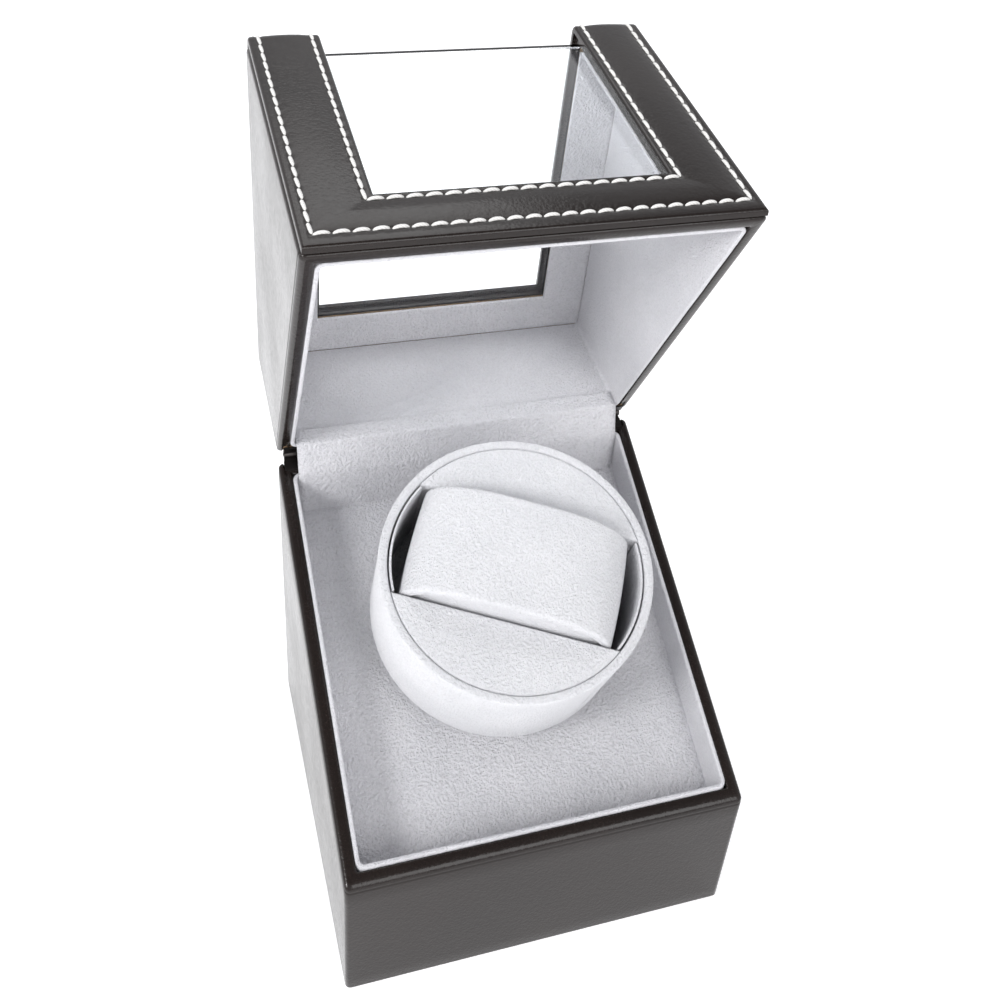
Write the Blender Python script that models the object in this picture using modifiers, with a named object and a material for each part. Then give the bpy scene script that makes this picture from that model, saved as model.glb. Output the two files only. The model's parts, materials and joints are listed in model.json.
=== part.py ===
"""Watch winder box with a slanted lid, a turning drum and its belt-and-gear drive.

The frame has +X to the right, +Y to the back and +Z up. The origin is the middle of the underside,
so the box is modelled where it stands. The lid is modelled closed and then swung open about its
hinge, and the drive is modelled square to the sloping deck that it hangs from.
"""
import math

import bmesh
import bpy
from mathutils import Matrix, Vector

MM = 0.001

# Driving dimensions.
WIDTH = 120 * MM
DEPTH = 119.6 * MM
HEIGHT = 151.2 * MM
FRONT_SPLIT = 50.1 * MM
BACK_SPLIT = 103.9 * MM
LID_OPEN = math.radians(83.2)
WINDOW_HALF = 39.0 * MM
WINDOW_SILL = 70.9 * MM
WINDOW_BACK = 39.8 * MM
DECK_DROP = 15.5 * MM
DRUM_Y = 11.7 * MM
DRUM_RADIUS = 40.6 * MM
FACE_RADIUS = 37.6 * MM
DRUM_FACE = 50.4 * MM
DRUM_BOTTOM = 14.0 * MM
SLOT_HALF = 17.3 * MM
SLOT_TURN = math.radians(-25)
PILLOW_HALF = 31.8 * MM
PILLOW_CROWN = 9.5 * MM
PILLOW_LOW = 21 * MM
PILLOW_PAD = 3 * MM
PILLOW_POWER = 3.2
SLOT_END_STRIP = 1.0 * MM
SLOT_WALL = 1.5 * MM
FACE_THICK = 2.7 * MM
DRUM_FLOOR = 2.5 * MM
GEAR_MODULE = 0.6 * MM
PINION_TEETH = 12
REDUCTION_TEETH = 48
OUTPUT_TEETH = 60

# Wall build-up, from the outside in.
GAP = 0.3 * MM
SEAT = 0.25 * MM
LEATHER = 0.8 * MM
BOARD = 2.7 * MM
LINER = 1.3 * MM
BOARD_OUT = LEATHER + SEAT
BOARD_IN = BOARD_OUT + BOARD
LINER_OUT = BOARD_IN + SEAT
LINER_IN = LINER_OUT + LINER
RIM_HALF_GAP = 0.3 * MM
LINER_HALF_GAP = 0.15 * MM
EDGE_ROUND = 1.5 * MM
PANE = 1.3 * MM
PANE_LAP = 3.5 * MM
REVEAL = 2.2 * MM
REVEAL_STEP = 1.0 * MM
TRIM = 2.4 * MM
TRIM_INSET = 0.6 * MM
TRIM_SILL = 1.4 * MM
FELT = 1.0 * MM
BOTTOM_BOARD = 4.0 * MM
DECK = 3.2 * MM

# Worked out from the above.
HALF_WIDTH = WIDTH / 2
HALF_DEPTH = DEPTH / 2
SLOPE = (BACK_SPLIT - FRONT_SPLIT) / DEPTH
SLANT = math.atan(SLOPE)
FAR = 0.2
CLEAR = 20 * MM

# Hinge, whose axis stands just behind and above the back rim.
HINGE_BEHIND = 1.7 * MM
HINGE_ABOVE = 1.5 * MM
HINGE_BARREL = 1.3 * MM
HINGE_BORE = 0.75 * MM
HINGE_PIN = 0.45 * MM
HINGE_LEAF = 0.6 * MM
HINGE_REACH = 3.2 * MM
HINGE_LENGTH = 116 * MM
KNUCKLES = 5
KNUCKLE_GAP = 0.4 * MM
HINGE_AXIS = Vector((0, HALF_DEPTH + HINGE_BEHIND, BACK_SPLIT + HINGE_ABOVE))

# Drive, measured from the deck's top surface and down from it.
COVER_TOP = -DECK - GAP
COVER_BOTTOM = COVER_TOP - 2.0 * MM
FLOOR_TOP = -22 * MM
FLOOR_BOTTOM = -24 * MM
SHAFT = 3.0 * MM
ARBOR = 1.0 * MM
RUNNING_GAP = 0.3 * MM
PULLEY_RADIUS = 16 * MM
MOTOR_PULLEY_RADIUS = 3.0 * MM
GROOVE_DEPTH = 1.2 * MM
BELT = 1.0 * MM
BELT_LEVEL = -19.6 * MM
MOTOR_RADIUS = 12 * MM
GEARBOX_LOW = (-46 * MM, -48 * MM)
GEARBOX_HIGH = (29 * MM, 22 * MM)
GEARBOX_WALL = 2 * MM
EAR = 7 * MM
OUTPUT_CENTRE = GEAR_MODULE * (OUTPUT_TEETH + PINION_TEETH) / 2
REDUCTION_CENTRE = GEAR_MODULE * (REDUCTION_TEETH + PINION_TEETH) / 2
TOWARD_REDUCTION = math.radians(-60)
TOWARD_PULLEY = math.radians(-150)
MOTOR_AT = Vector((-31 * MM, -17 * MM))

# Rear plate with the power inlet and the mode switch.
PLATE_Z = 22 * MM
PLATE_HALF = (22 * MM, 9 * MM)
PLATE_BACK = HALF_DEPTH + 2.3 * MM
PORT_HALF = (17 * MM, 6 * MM)
INLET_X = -9 * MM
SWITCH_X = 9 * MM
PLATE_SCREW_X = 19.3 * MM


def polar(radius, angle):
    """Point at a radius and an angle about the origin."""
    return Vector((radius * math.cos(angle), radius * math.sin(angle)))


REDUCTION_AT = polar(OUTPUT_CENTRE, TOWARD_REDUCTION)
PULLEY_AT = REDUCTION_AT + polar(REDUCTION_CENTRE, TOWARD_PULLEY)


def split_z(y, offset=0.0):
    """Height of the slanted split at a depth, moved square to it by an offset."""
    return FRONT_SPLIT + (y + HALF_DEPTH) * SLOPE + offset / math.cos(SLANT)


# Scene set-up.

def clear_scene():
    """Remove every object that the file opened with."""
    for leftover in list(bpy.data.objects):
        bpy.data.objects.remove(leftover, do_unlink=True)


def new_collection(name):
    """Make a collection under the scene."""
    collection = bpy.data.collections.new(name)
    bpy.context.scene.collection.children.link(collection)
    return collection


def new_material(name, colour, roughness, metallic=0.0, transmission=0.0):
    """Make a Principled material."""
    material = bpy.data.materials.new(name)
    material.use_nodes = True
    shader = material.node_tree.nodes["Principled BSDF"]
    shader.inputs["Base Color"].default_value = (*colour, 1.0)
    shader.inputs["Roughness"].default_value = roughness
    shader.inputs["Metallic"].default_value = metallic
    shader.inputs["Transmission Weight"].default_value = transmission
    return material


clear_scene()
PARTS = new_collection("watch_winder_box")
TOOLS = new_collection("cutters")

BROWN_LEATHER = new_material("brown_leather", (0.095, 0.080, 0.072), 0.45)
PALE_SUEDE = new_material("pale_suede", (0.72, 0.71, 0.74), 0.95)
FIBREBOARD = new_material("fibreboard", (0.45, 0.31, 0.19), 0.85)
ACRYLIC = new_material("clear_acrylic", (0.95, 0.96, 0.98), 0.03, 0.0, 1.0)
BLACK_FELT = new_material("black_felt", (0.015, 0.015, 0.016), 1.0)
BLACK_PLASTIC = new_material("black_plastic", (0.02, 0.02, 0.022), 0.45)
IVORY_NYLON = new_material("ivory_nylon", (0.75, 0.72, 0.62), 0.5)
STEEL = new_material("bright_steel", (0.62, 0.62, 0.64), 0.3, 1.0)
BRASS = new_material("bearing_brass", (0.78, 0.58, 0.28), 0.3, 1.0)
RUBBER = new_material("belt_rubber", (0.012, 0.012, 0.012), 0.8)
GREEN_BOARD = new_material("circuit_board", (0.02, 0.16, 0.06), 0.45)
CORE_FOAM = new_material("core_foam", (0.55, 0.55, 0.57), 0.95)


def new_frame(name, location, rotation, parent=None):
    """Make an empty that carries the pieces of one moving body."""
    frame = bpy.data.objects.new(name, None)
    frame.empty_display_size = 0.01
    PARTS.objects.link(frame)
    frame.parent = parent
    frame.location = location
    frame.rotation_euler = rotation
    return frame


LID_FRAME = new_frame("lid_axis", HINGE_AXIS, (-LID_OPEN, 0, 0))
DECK_FRAME = new_frame("deck_axis", (0, DRUM_Y, split_z(DRUM_Y, -DECK_DROP)), (SLANT, 0, 0))
DRUM_FRAME = new_frame("drum_axis", (0, 0, 0), (0, 0, SLOT_TURN), DECK_FRAME)
REDUCTION_FRAME = new_frame("reduction_axis", (*REDUCTION_AT, 0), (0, 0, 0), DECK_FRAME)
PULLEY_FRAME = new_frame("pulley_axis", (*PULLEY_AT, 0), (0, 0, 0), DECK_FRAME)
MOTOR_FRAME = new_frame("motor_axis", (*MOTOR_AT, 0), (0, 0, 0), DECK_FRAME)

# Where a piece is placed: its parent empty, and the place of its own origin under it.
ON_BASE = (None, Vector((0, 0, 0)))
ON_LID = (LID_FRAME, -HINGE_AXIS)
ON_DECK = (DECK_FRAME, Vector((0, 0, 0)))
ON_DRUM = (DRUM_FRAME, Vector((0, 0, 0)))
ON_REDUCTION = (REDUCTION_FRAME, Vector((0, 0, 0)))
ON_PULLEY = (PULLEY_FRAME, Vector((0, 0, 0)))
ON_MOTOR = (MOTOR_FRAME, Vector((0, 0, 0)))


# Shapes.

def to_mesh(shape):
    """Turn a bmesh into mesh data and free it."""
    mesh = bpy.data.meshes.new("shape")
    shape.to_mesh(mesh)
    shape.free()
    return mesh


def box(low, high):
    """Box between two corners."""
    size = [top - bottom for bottom, top in zip(low, high)]
    middle = [(top + bottom) / 2 for bottom, top in zip(low, high)]
    shape = bmesh.new()
    matrix = Matrix.Translation(middle) @ Matrix.Diagonal((*size, 1.0))
    bmesh.ops.create_cube(shape, size=1.0, matrix=matrix)
    return to_mesh(shape)


def rod(radius, low, high, centre=(0, 0), segments=32):
    """Cylinder along Z from one height to another."""
    shape = bmesh.new()
    matrix = Matrix.Translation((centre[0], centre[1], (low + high) / 2))
    bmesh.ops.create_cone(shape, cap_ends=True, segments=segments, radius1=radius, radius2=radius,
                          depth=high - low, matrix=matrix)
    return to_mesh(shape)


def turned_onto(mesh, matrix):
    """Move mesh data by a matrix."""
    mesh.transform(matrix)
    return mesh


def along_x(mesh, y=0.0, z=0.0):
    """Lay a shape that was made along Z over onto +X."""
    return turned_onto(mesh, Matrix.Translation((0, y, z)) @ Matrix.Rotation(math.pi / 2, 4, "Y"))


def along_y(mesh, x=0.0, y=0.0, z=0.0):
    """Lay a shape that was made along Z over onto +Y."""
    return turned_onto(mesh, Matrix.Translation((x, y, z)) @ Matrix.Rotation(-math.pi / 2, 4, "X"))


def evaluated_mesh(source, weld):
    """Take an object's mesh as evaluated, close its seams and remove the object."""
    TOOLS.objects.link(source)
    bpy.context.view_layer.update()
    graph = bpy.context.evaluated_depsgraph_get()
    mesh = bpy.data.meshes.new_from_object(source.evaluated_get(graph))
    bpy.data.objects.remove(source, do_unlink=True)
    shape = bmesh.new()
    shape.from_mesh(mesh)
    bmesh.ops.remove_doubles(shape, verts=shape.verts, dist=weld)
    bmesh.ops.recalc_face_normals(shape, faces=shape.faces)
    shape.to_mesh(mesh)
    shape.free()
    return mesh


def extruded(loops, low, high, plane="XY"):
    """Flat outline, with any holes as further loops, extruded square to its plane."""
    curve = bpy.data.curves.new("outline", "CURVE")
    curve.dimensions = "2D"
    curve.fill_mode = "BOTH"
    curve.extrude = (high - low) / 2
    for loop in loops:
        spline = curve.splines.new("POLY")
        spline.points.add(len(loop) - 1)
        for point, place in zip(spline.points, loop):
            point.co = (place[0], place[1], 0.0, 1.0)
        spline.use_cyclic_u = True
    mesh = evaluated_mesh(bpy.data.objects.new("outline", curve), 1e-7)
    middle = (low + high) / 2
    if plane == "XY":
        return turned_onto(mesh, Matrix.Translation((0, 0, middle)))
    if plane == "YZ":
        turn = Matrix(((0, 0, 1, middle), (1, 0, 0, 0), (0, 1, 0, 0), (0, 0, 0, 1)))
        return turned_onto(mesh, turn)
    turn = Matrix(((1, 0, 0, 0), (0, 0, -1, middle), (0, 1, 0, 0), (0, 0, 0, 1)))
    return turned_onto(mesh, turn)


def revolved(profile, steps=48, closed=False):
    """Profile of (radius, height) points turned about Z, running down its outer side."""
    mesh = bpy.data.meshes.new("profile")
    edges = [(i, i + 1) for i in range(len(profile) - 1)]
    if closed:
        edges.append((len(profile) - 1, 0))
    mesh.from_pydata([(radius, 0.0, height) for radius, height in profile], edges, [])
    source = bpy.data.objects.new("profile", mesh)
    screw = source.modifiers.new("turn", "SCREW")
    screw.steps = steps
    screw.render_steps = steps
    screw.use_merge_vertices = True
    screw.merge_threshold = 1e-6
    return evaluated_mesh(source, 1e-7)


def arc(centre, radius, start, end, steps):
    """Points along an arc."""
    span = (end - start) / steps
    return [(centre[0] + radius * math.cos(start + i * span),
             centre[1] + radius * math.sin(start + i * span)) for i in range(steps + 1)]


def rounded_rectangle(low, high, radius, steps=4):
    """Rectangle outline with round corners."""
    quarter = math.pi / 2
    points = arc((high[0] - radius, high[1] - radius), radius, 0, quarter, steps)
    points += arc((low[0] + radius, high[1] - radius), radius, quarter, 2 * quarter, steps)
    points += arc((low[0] + radius, low[1] + radius), radius, 2 * quarter, 3 * quarter, steps)
    points += arc((high[0] - radius, low[1] + radius), radius, 3 * quarter, 4 * quarter, steps)
    return points


def circle(radius, steps=32, centre=(0, 0)):
    """Circle outline."""
    return arc(centre, radius, 0, 2 * math.pi * (steps - 1) / steps, steps - 1)


def gear_outline(teeth, phase):
    """Involute gear outline, with a tooth centred on the phase angle."""
    pitch = GEAR_MODULE * teeth / 2
    base = pitch * math.cos(math.radians(20))
    root = pitch - 1.25 * GEAR_MODULE
    tip = pitch + 0.8 * GEAR_MODULE
    backlash = 0.14 * MM

    def spread(radius):
        """Involute function of the pressure angle at a radius."""
        pressure = math.acos(min(1.0, base / radius))
        return math.tan(pressure) - pressure

    half_tooth = (math.pi / 2 - backlash / GEAR_MODULE) / teeth
    flank = [(radius, half_tooth + spread(pitch) - spread(radius)) for radius in (root, pitch, tip)]
    points = []
    for tooth in range(teeth):
        middle = phase + 2 * math.pi * tooth / teeth
        points += [polar(radius, middle - half) for radius, half in flank]
        points += [polar(radius, middle + half) for radius, half in reversed(flank)]
    return points


# Objects.

def place(name, mesh, where, collection):
    """Link an object under its parent."""
    made = bpy.data.objects.new(name, mesh)
    collection.objects.link(made)
    made.parent, made.location = where
    return made


def part(name, mesh, material, where=ON_BASE, smooth=False):
    """Make one piece of the box."""
    piece = place(name, mesh, where, PARTS)
    piece.data.name = name
    piece.data.materials.clear()
    piece.data.materials.append(material)
    if smooth:
        piece.data.shade_smooth()
        piece.data.set_sharp_from_angle(angle=math.radians(35))
    return piece


def tool(name, mesh, where=ON_BASE):
    """Make a shape that only cuts or joins."""
    piece = place(name, mesh, where, TOOLS)
    piece.hide_render = True
    piece.display_type = "WIRE"
    return piece


def combine(piece, other, operation):
    """Add a Boolean modifier with the exact solver."""
    modifier = piece.modifiers.new(other.name, "BOOLEAN")
    modifier.operation = operation
    modifier.solver = "EXACT"
    modifier.object = other


def cut(piece, *cutters):
    """Cut shapes out of a piece."""
    for cutter in cutters:
        combine(piece, cutter, "DIFFERENCE")


def join(piece, *additions):
    """Unite shapes with a piece."""
    for addition in additions:
        combine(piece, addition, "UNION")


def round_edges(piece, width, segments, weigh=None):
    """Round a piece's edges, all alike or by a weight worked out for each edge."""
    if weigh is not None:
        shape = bmesh.new()
        shape.from_mesh(piece.data)
        weights = shape.edges.layers.float.new("bevel_weight_edge")
        for edge in shape.edges:
            edge[weights] = weigh(edge.verts[0].co, edge.verts[1].co)
        shape.to_mesh(piece.data)
        shape.free()
    bevel = piece.modifiers.new("round", "BEVEL")
    bevel.width = width
    bevel.segments = segments
    bevel.limit_method = "ANGLE" if weigh is None else "WEIGHT"
    bevel.angle_limit = math.radians(30)


# Walls: every wall is a slice of one of two wedges, below the split and above it.

def below_split(front, back, low, offset):
    """Outline in Y and Z between two depths, from a height up to the split."""
    return [(front, low), (back, low), (back, split_z(back, offset)), (front, split_z(front, offset))]


def above_split(front, back, high, offset):
    """Outline in Y and Z between two depths, from the split up to a height."""
    return [(front, split_z(front, offset)), (back, split_z(back, offset)), (back, high), (front, high)]


def wall(outline, left, right):
    """Wall slice between two widths."""
    return extruded([outline], left, right, "YZ")


def mirrored_walls(names, outline, inner, outer, material, where):
    """Left and right walls alike."""
    for name, left, right in ((names[0], -outer, -inner), (names[1], inner, outer)):
        part(name, wall(outline, left, right), material, where)


# Base.

def rear_port_tools():
    """Opening in the back wall behind the rear plate, and its two screw holes."""
    low = (-PORT_HALF[0], HALF_DEPTH - LINER_OUT - GAP, PLATE_Z - PORT_HALF[1])
    high = (PORT_HALF[0], HALF_DEPTH + LINER_OUT, PLATE_Z + PORT_HALF[1])
    tools = [tool("rear_port", box(low, high))]
    for side in (-1, 1):
        hole = along_y(rod(1.3 * MM, -LINER_OUT - GAP, LINER_OUT, segments=16),
                       side * PLATE_SCREW_X, HALF_DEPTH, PLATE_Z)
        tools.append(tool(f"plate_screw_hole_{side}", hole))
    return tools


def hinge_mortises():
    """Shallow recesses for the hinge leaves in the base's and the lid's back rims."""
    depth = LEATHER + 0.4 * MM
    front = HALF_DEPTH - HINGE_REACH - 2 * GAP
    back = HALF_DEPTH + 3 * MM
    half = HINGE_LENGTH / 2 + GAP
    lower = [(front, split_z(front, -depth)), (back, split_z(back, -depth)),
             (back, split_z(back, 3 * MM)), (front, split_z(front, 3 * MM))]
    upper = [(front, split_z(front, -3 * MM)), (back, split_z(back, -3 * MM)),
             (back, split_z(back, depth)), (front, split_z(front, depth))]
    return (tool("base_mortise", wall(lower, -half, half)),
            tool("lid_mortise", wall(upper, -half, half), ON_LID))


def build_base_shell(port_tools, mortise):
    """Leather wrap, boards, felt, liners and deck of the base."""
    felt_half = (HALF_WIDTH - LEATHER - 2 * GAP, HALF_DEPTH - LEATHER - 2 * GAP)
    part("underside_felt", box((-felt_half[0], -felt_half[1], 0), (*felt_half, FELT)), BLACK_FELT)

    leather_low = GAP
    outline = below_split(-HALF_DEPTH, HALF_DEPTH, leather_low, -RIM_HALF_GAP)
    wrap = part("base_leather_wrap", wall(outline, -HALF_WIDTH, HALF_WIDTH), BROWN_LEATHER)
    low = leather_low + 0.1 * MM
    round_edges(wrap, EDGE_ROUND, 3, lambda a, b: 0.0 if max(a.z, b.z) < low else 1.0)
    inner = below_split(LEATHER - HALF_DEPTH, HALF_DEPTH - LEATHER, -5 * MM, -RIM_HALF_GAP - LEATHER)
    skin = HALF_WIDTH - LEATHER
    mouth = below_split(LINER_OUT - HALF_DEPTH, HALF_DEPTH - LINER_OUT, 20 * MM, 10 * MM)
    mouth_half = HALF_WIDTH - LINER_OUT
    cut(wrap, tool("base_skin", wall(inner, -skin, skin)),
        tool("base_mouth", wall(mouth, -mouth_half, mouth_half)), mortise, *port_tools)

    board_low = FELT + GAP
    board_top = -RIM_HALF_GAP - BOARD_OUT
    front_back = HALF_WIDTH - LINER_OUT
    span = (BOARD_OUT - HALF_DEPTH, BOARD_IN - HALF_DEPTH)
    part("base_front_board", wall(below_split(*span, board_low, board_top), -front_back, front_back),
         FIBREBOARD)
    back = below_split(-span[1], -span[0], board_low, board_top)
    back_board = part("base_back_board", wall(back, -front_back, front_back), FIBREBOARD)
    cut(back_board, *port_tools)
    side = below_split(span[0], -span[0], board_low, board_top)
    mirrored_walls(("base_left_board", "base_right_board"), side, HALF_WIDTH - BOARD_IN,
                   HALF_WIDTH - BOARD_OUT, FIBREBOARD, ON_BASE)

    inside = (HALF_WIDTH - LINER_OUT - GAP, HALF_DEPTH - LINER_OUT)
    low = (-inside[0], -inside[1], board_low)
    part("base_bottom_board", box(low, (*inside, board_low + BOTTOM_BOARD)), FIBREBOARD)

    def liner_outline(front, back):
        """Outline of a liner, from just above the deck to just under the split."""
        return [(front, split_z(front, GAP - DECK_DROP)), (back, split_z(back, GAP - DECK_DROP)),
                (back, split_z(back, -LINER_HALF_GAP)), (front, split_z(front, -LINER_HALF_GAP))]

    outer, face = HALF_DEPTH - LINER_OUT, HALF_DEPTH - LINER_IN
    across = HALF_WIDTH - LINER_IN - GAP
    part("base_front_liner", wall(liner_outline(-outer, -face), -across, across), PALE_SUEDE)
    part("base_back_liner", wall(liner_outline(face, outer), -across, across), PALE_SUEDE)
    mirrored_walls(("base_left_liner", "base_right_liner"), liner_outline(-outer, outer),
                   HALF_WIDTH - LINER_IN, HALF_WIDTH - LINER_OUT, PALE_SUEDE, ON_BASE)

    edge = HALF_DEPTH - LINER_OUT
    slab = [(-edge, split_z(-edge, -DECK_DROP - DECK)), (edge, split_z(edge, -DECK_DROP - DECK)),
            (edge, split_z(edge, -DECK_DROP)), (-edge, split_z(-edge, -DECK_DROP))]
    deck = part("deck_board", wall(slab, -inside[0], inside[0]), PALE_SUEDE)
    cut(deck, tool("bearing_hole", rod(5.3 * MM, -10 * MM, 10 * MM), ON_DECK))
    for x, y in GEARBOX_SCREWS:
        cut(deck, tool("deck_screw_hole", rod(1.5 * MM, -10 * MM, -1 * MM, (x, y), 16), ON_DECK))


# Lid.

def window_tool(name, grow, ahead=0.0):
    """Opening through the lid's front and top, grown on its three edges, from a point ahead of it."""
    half = WINDOW_HALF + grow
    low = (-half, -HALF_DEPTH - CLEAR + ahead, WINDOW_SILL - grow)
    return tool(name, box(low, (half, WINDOW_BACK + grow, HEIGHT + CLEAR)), ON_LID)


def build_lid_leather(mortise):
    """Leather wrap of the lid, with a return into the window, and the stitched trim over it."""
    outline = above_split(-HALF_DEPTH, HALF_DEPTH, HEIGHT, RIM_HALF_GAP)
    wrap = part("lid_leather_wrap", wall(outline, -HALF_WIDTH, HALF_WIDTH), BROWN_LEATHER, ON_LID)
    round_edges(wrap, EDGE_ROUND, 3)
    inner = above_split(LEATHER - HALF_DEPTH, HALF_DEPTH - LEATHER, HEIGHT - LEATHER,
                        RIM_HALF_GAP + LEATHER)
    skin = HALF_WIDTH - LEATHER
    hollow = tool("lid_skin", wall(inner, -skin, skin), ON_LID)
    cut(hollow, window_tool("window_return", REVEAL_STEP + LEATHER))
    inset = LEATHER + 0.4 * MM
    room = above_split(REVEAL - HALF_DEPTH, HALF_DEPTH - inset, HEIGHT - REVEAL, RIM_HALF_GAP + inset)
    room_half = HALF_WIDTH - inset
    mouth = above_split(LINER_OUT - HALF_DEPTH, HALF_DEPTH - LINER_OUT, HEIGHT - 2 * LINER_OUT, -10 * MM)
    mouth_half = HALF_WIDTH - LINER_OUT
    cut(wrap, hollow, tool("lid_room", wall(room, -room_half, room_half), ON_LID),
        tool("lid_mouth", wall(mouth, -mouth_half, mouth_half), ON_LID),
        window_tool("window_opening", REVEAL_STEP), mortise)

    sill = FRONT_SPLIT + TRIM_SILL
    front, top, back = -HALF_DEPTH - TRIM, HEIGHT + TRIM, HALF_DEPTH - TRIM_INSET
    outline = [(front, sill), (-HALF_DEPTH - GAP, sill), (-HALF_DEPTH - GAP, HEIGHT + GAP),
               (back, HEIGHT + GAP), (back, top), (front, top)]
    half = HALF_WIDTH - TRIM_INSET
    trim = part("lid_trim_panel", wall(outline, -half, half), BROWN_LEATHER, ON_LID)
    cut(trim, window_tool("trim_window", 0.0))
    round_edges(trim, 0.7 * MM, 2)


def build_lid_boards():
    """Fibreboard carcass of the lid, rebated for the panes."""
    room = window_tool("board_window", REVEAL_STEP + LEATHER + SEAT)
    rebate = window_tool("board_rebate", REVEAL_STEP + LEATHER + SEAT + PANE_LAP, ahead=CLEAR + REVEAL)
    shelf = tool("rebate_shelf", box((-FAR, -FAR, HEIGHT - REVEAL), (FAR, FAR, FAR)), ON_LID)
    cut(rebate, shelf)
    front = (BOARD_OUT - HALF_DEPTH, BOARD_IN - HALF_DEPTH)
    low_edge = RIM_HALF_GAP + BOARD_OUT
    under_top = HEIGHT - LINER_OUT
    across = HALF_WIDTH - LINER_OUT
    outline = above_split(*front, under_top, low_edge)
    board = part("lid_front_board", wall(outline, -across, across), FIBREBOARD, ON_LID)
    cut(board, room, rebate)
    outline = above_split(-front[1], -front[0], under_top, low_edge)
    part("lid_back_board", wall(outline, -across, across), FIBREBOARD, ON_LID)
    outline = above_split(front[0], -front[0], under_top, low_edge)
    mirrored_walls(("lid_left_board", "lid_right_board"), outline, HALF_WIDTH - BOARD_IN,
                   HALF_WIDTH - BOARD_OUT, FIBREBOARD, ON_LID)
    half = HALF_WIDTH - BOARD_OUT
    low = (-half, front[0], HEIGHT - BOARD_IN)
    top = part("lid_top_board", box(low, (half, -front[0], HEIGHT - BOARD_OUT)), FIBREBOARD, ON_LID)
    cut(top, room, rebate)


def build_panes():
    """Clear acrylic panes in the rebates, meeting at the top front corner."""
    lap = REVEAL_STEP + LEATHER + PANE_LAP - SEAT
    half = WINDOW_HALF + lap
    outer = REVEAL + SEAT
    front = (-half, outer - HALF_DEPTH, WINDOW_SILL - lap)
    back = (half, outer + PANE - HALF_DEPTH, HEIGHT - outer - PANE - SEAT)
    part("front_window_pane", box(front, back), ACRYLIC, ON_LID)
    low = (-half, outer - HALF_DEPTH, HEIGHT - outer - PANE)
    part("top_window_pane", box(low, (half, WINDOW_BACK + lap, HEIGHT - outer)), ACRYLIC, ON_LID)


def build_lid_liners():
    """Suede liners inside the lid, the front and top ones open at the window."""
    opening = window_tool("liner_window", REVEAL_STEP + GAP)
    outer, face = HALF_DEPTH - LINER_OUT, HALF_DEPTH - LINER_IN
    across = HALF_WIDTH - LINER_IN - GAP
    under_top = HEIGHT - LINER_IN - SEAT
    outline = above_split(-outer, -face, under_top, LINER_HALF_GAP)
    front = part("lid_front_liner", wall(outline, -across, across), PALE_SUEDE, ON_LID)
    outline = above_split(face, outer, under_top, LINER_HALF_GAP)
    part("lid_back_liner", wall(outline, -across, across), PALE_SUEDE, ON_LID)
    outline = above_split(-outer, outer, HEIGHT - LINER_OUT, LINER_HALF_GAP)
    mirrored_walls(("lid_left_liner", "lid_right_liner"), outline, HALF_WIDTH - LINER_IN,
                   HALF_WIDTH - LINER_OUT, PALE_SUEDE, ON_LID)
    low = (-across, -outer, HEIGHT - LINER_IN)
    top = part("lid_top_liner", box(low, (across, outer, HEIGHT - LINER_OUT)), PALE_SUEDE, ON_LID)
    cut(front, opening)
    cut(top, opening)


# Hinge.

def slanted(u, t):
    """Point measured along the split from its back edge, and square to it."""
    y = HALF_DEPTH + u * math.cos(SLANT) - t * math.sin(SLANT)
    return (y, BACK_SPLIT + u * math.sin(SLANT) + t * math.cos(SLANT))


def hinge_leaf(name, level, owned, where):
    """Leaf with its share of the knuckles, as one piece."""
    low, high = level
    half = HINGE_LENGTH / 2
    plate = [slanted(-HINGE_REACH, low), slanted(0.2 * MM, low), slanted(0.2 * MM, high),
             slanted(-HINGE_REACH, high)]
    leaf = part(name, wall(plate, -half, half), STEEL, where)
    along = HINGE_BEHIND * math.cos(SLANT) + HINGE_ABOVE * math.sin(SLANT)
    pitch = HINGE_LENGTH / KNUCKLES
    thin = 0.05 * MM
    for knuckle in owned:
        left = -half + knuckle * pitch + KNUCKLE_GAP / 2
        right = left + pitch - KNUCKLE_GAP
        tab = [slanted(-1.0 * MM, low + thin), slanted(along, low + thin),
               slanted(along, high - thin), slanted(-1.0 * MM, high - thin)]
        barrel = along_x(rod(HINGE_BARREL, left, right, segments=20), *HINGE_AXIS.yz)
        join(leaf, tool(f"{name}_tab_{knuckle}", wall(tab, left, right), where),
             tool(f"{name}_barrel_{knuckle}", barrel, where))
    bore = along_x(rod(HINGE_BORE, -half - MM, half + MM, segments=16), *HINGE_AXIS.yz)
    cut(leaf, tool(f"{name}_bore", bore, where))


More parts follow.
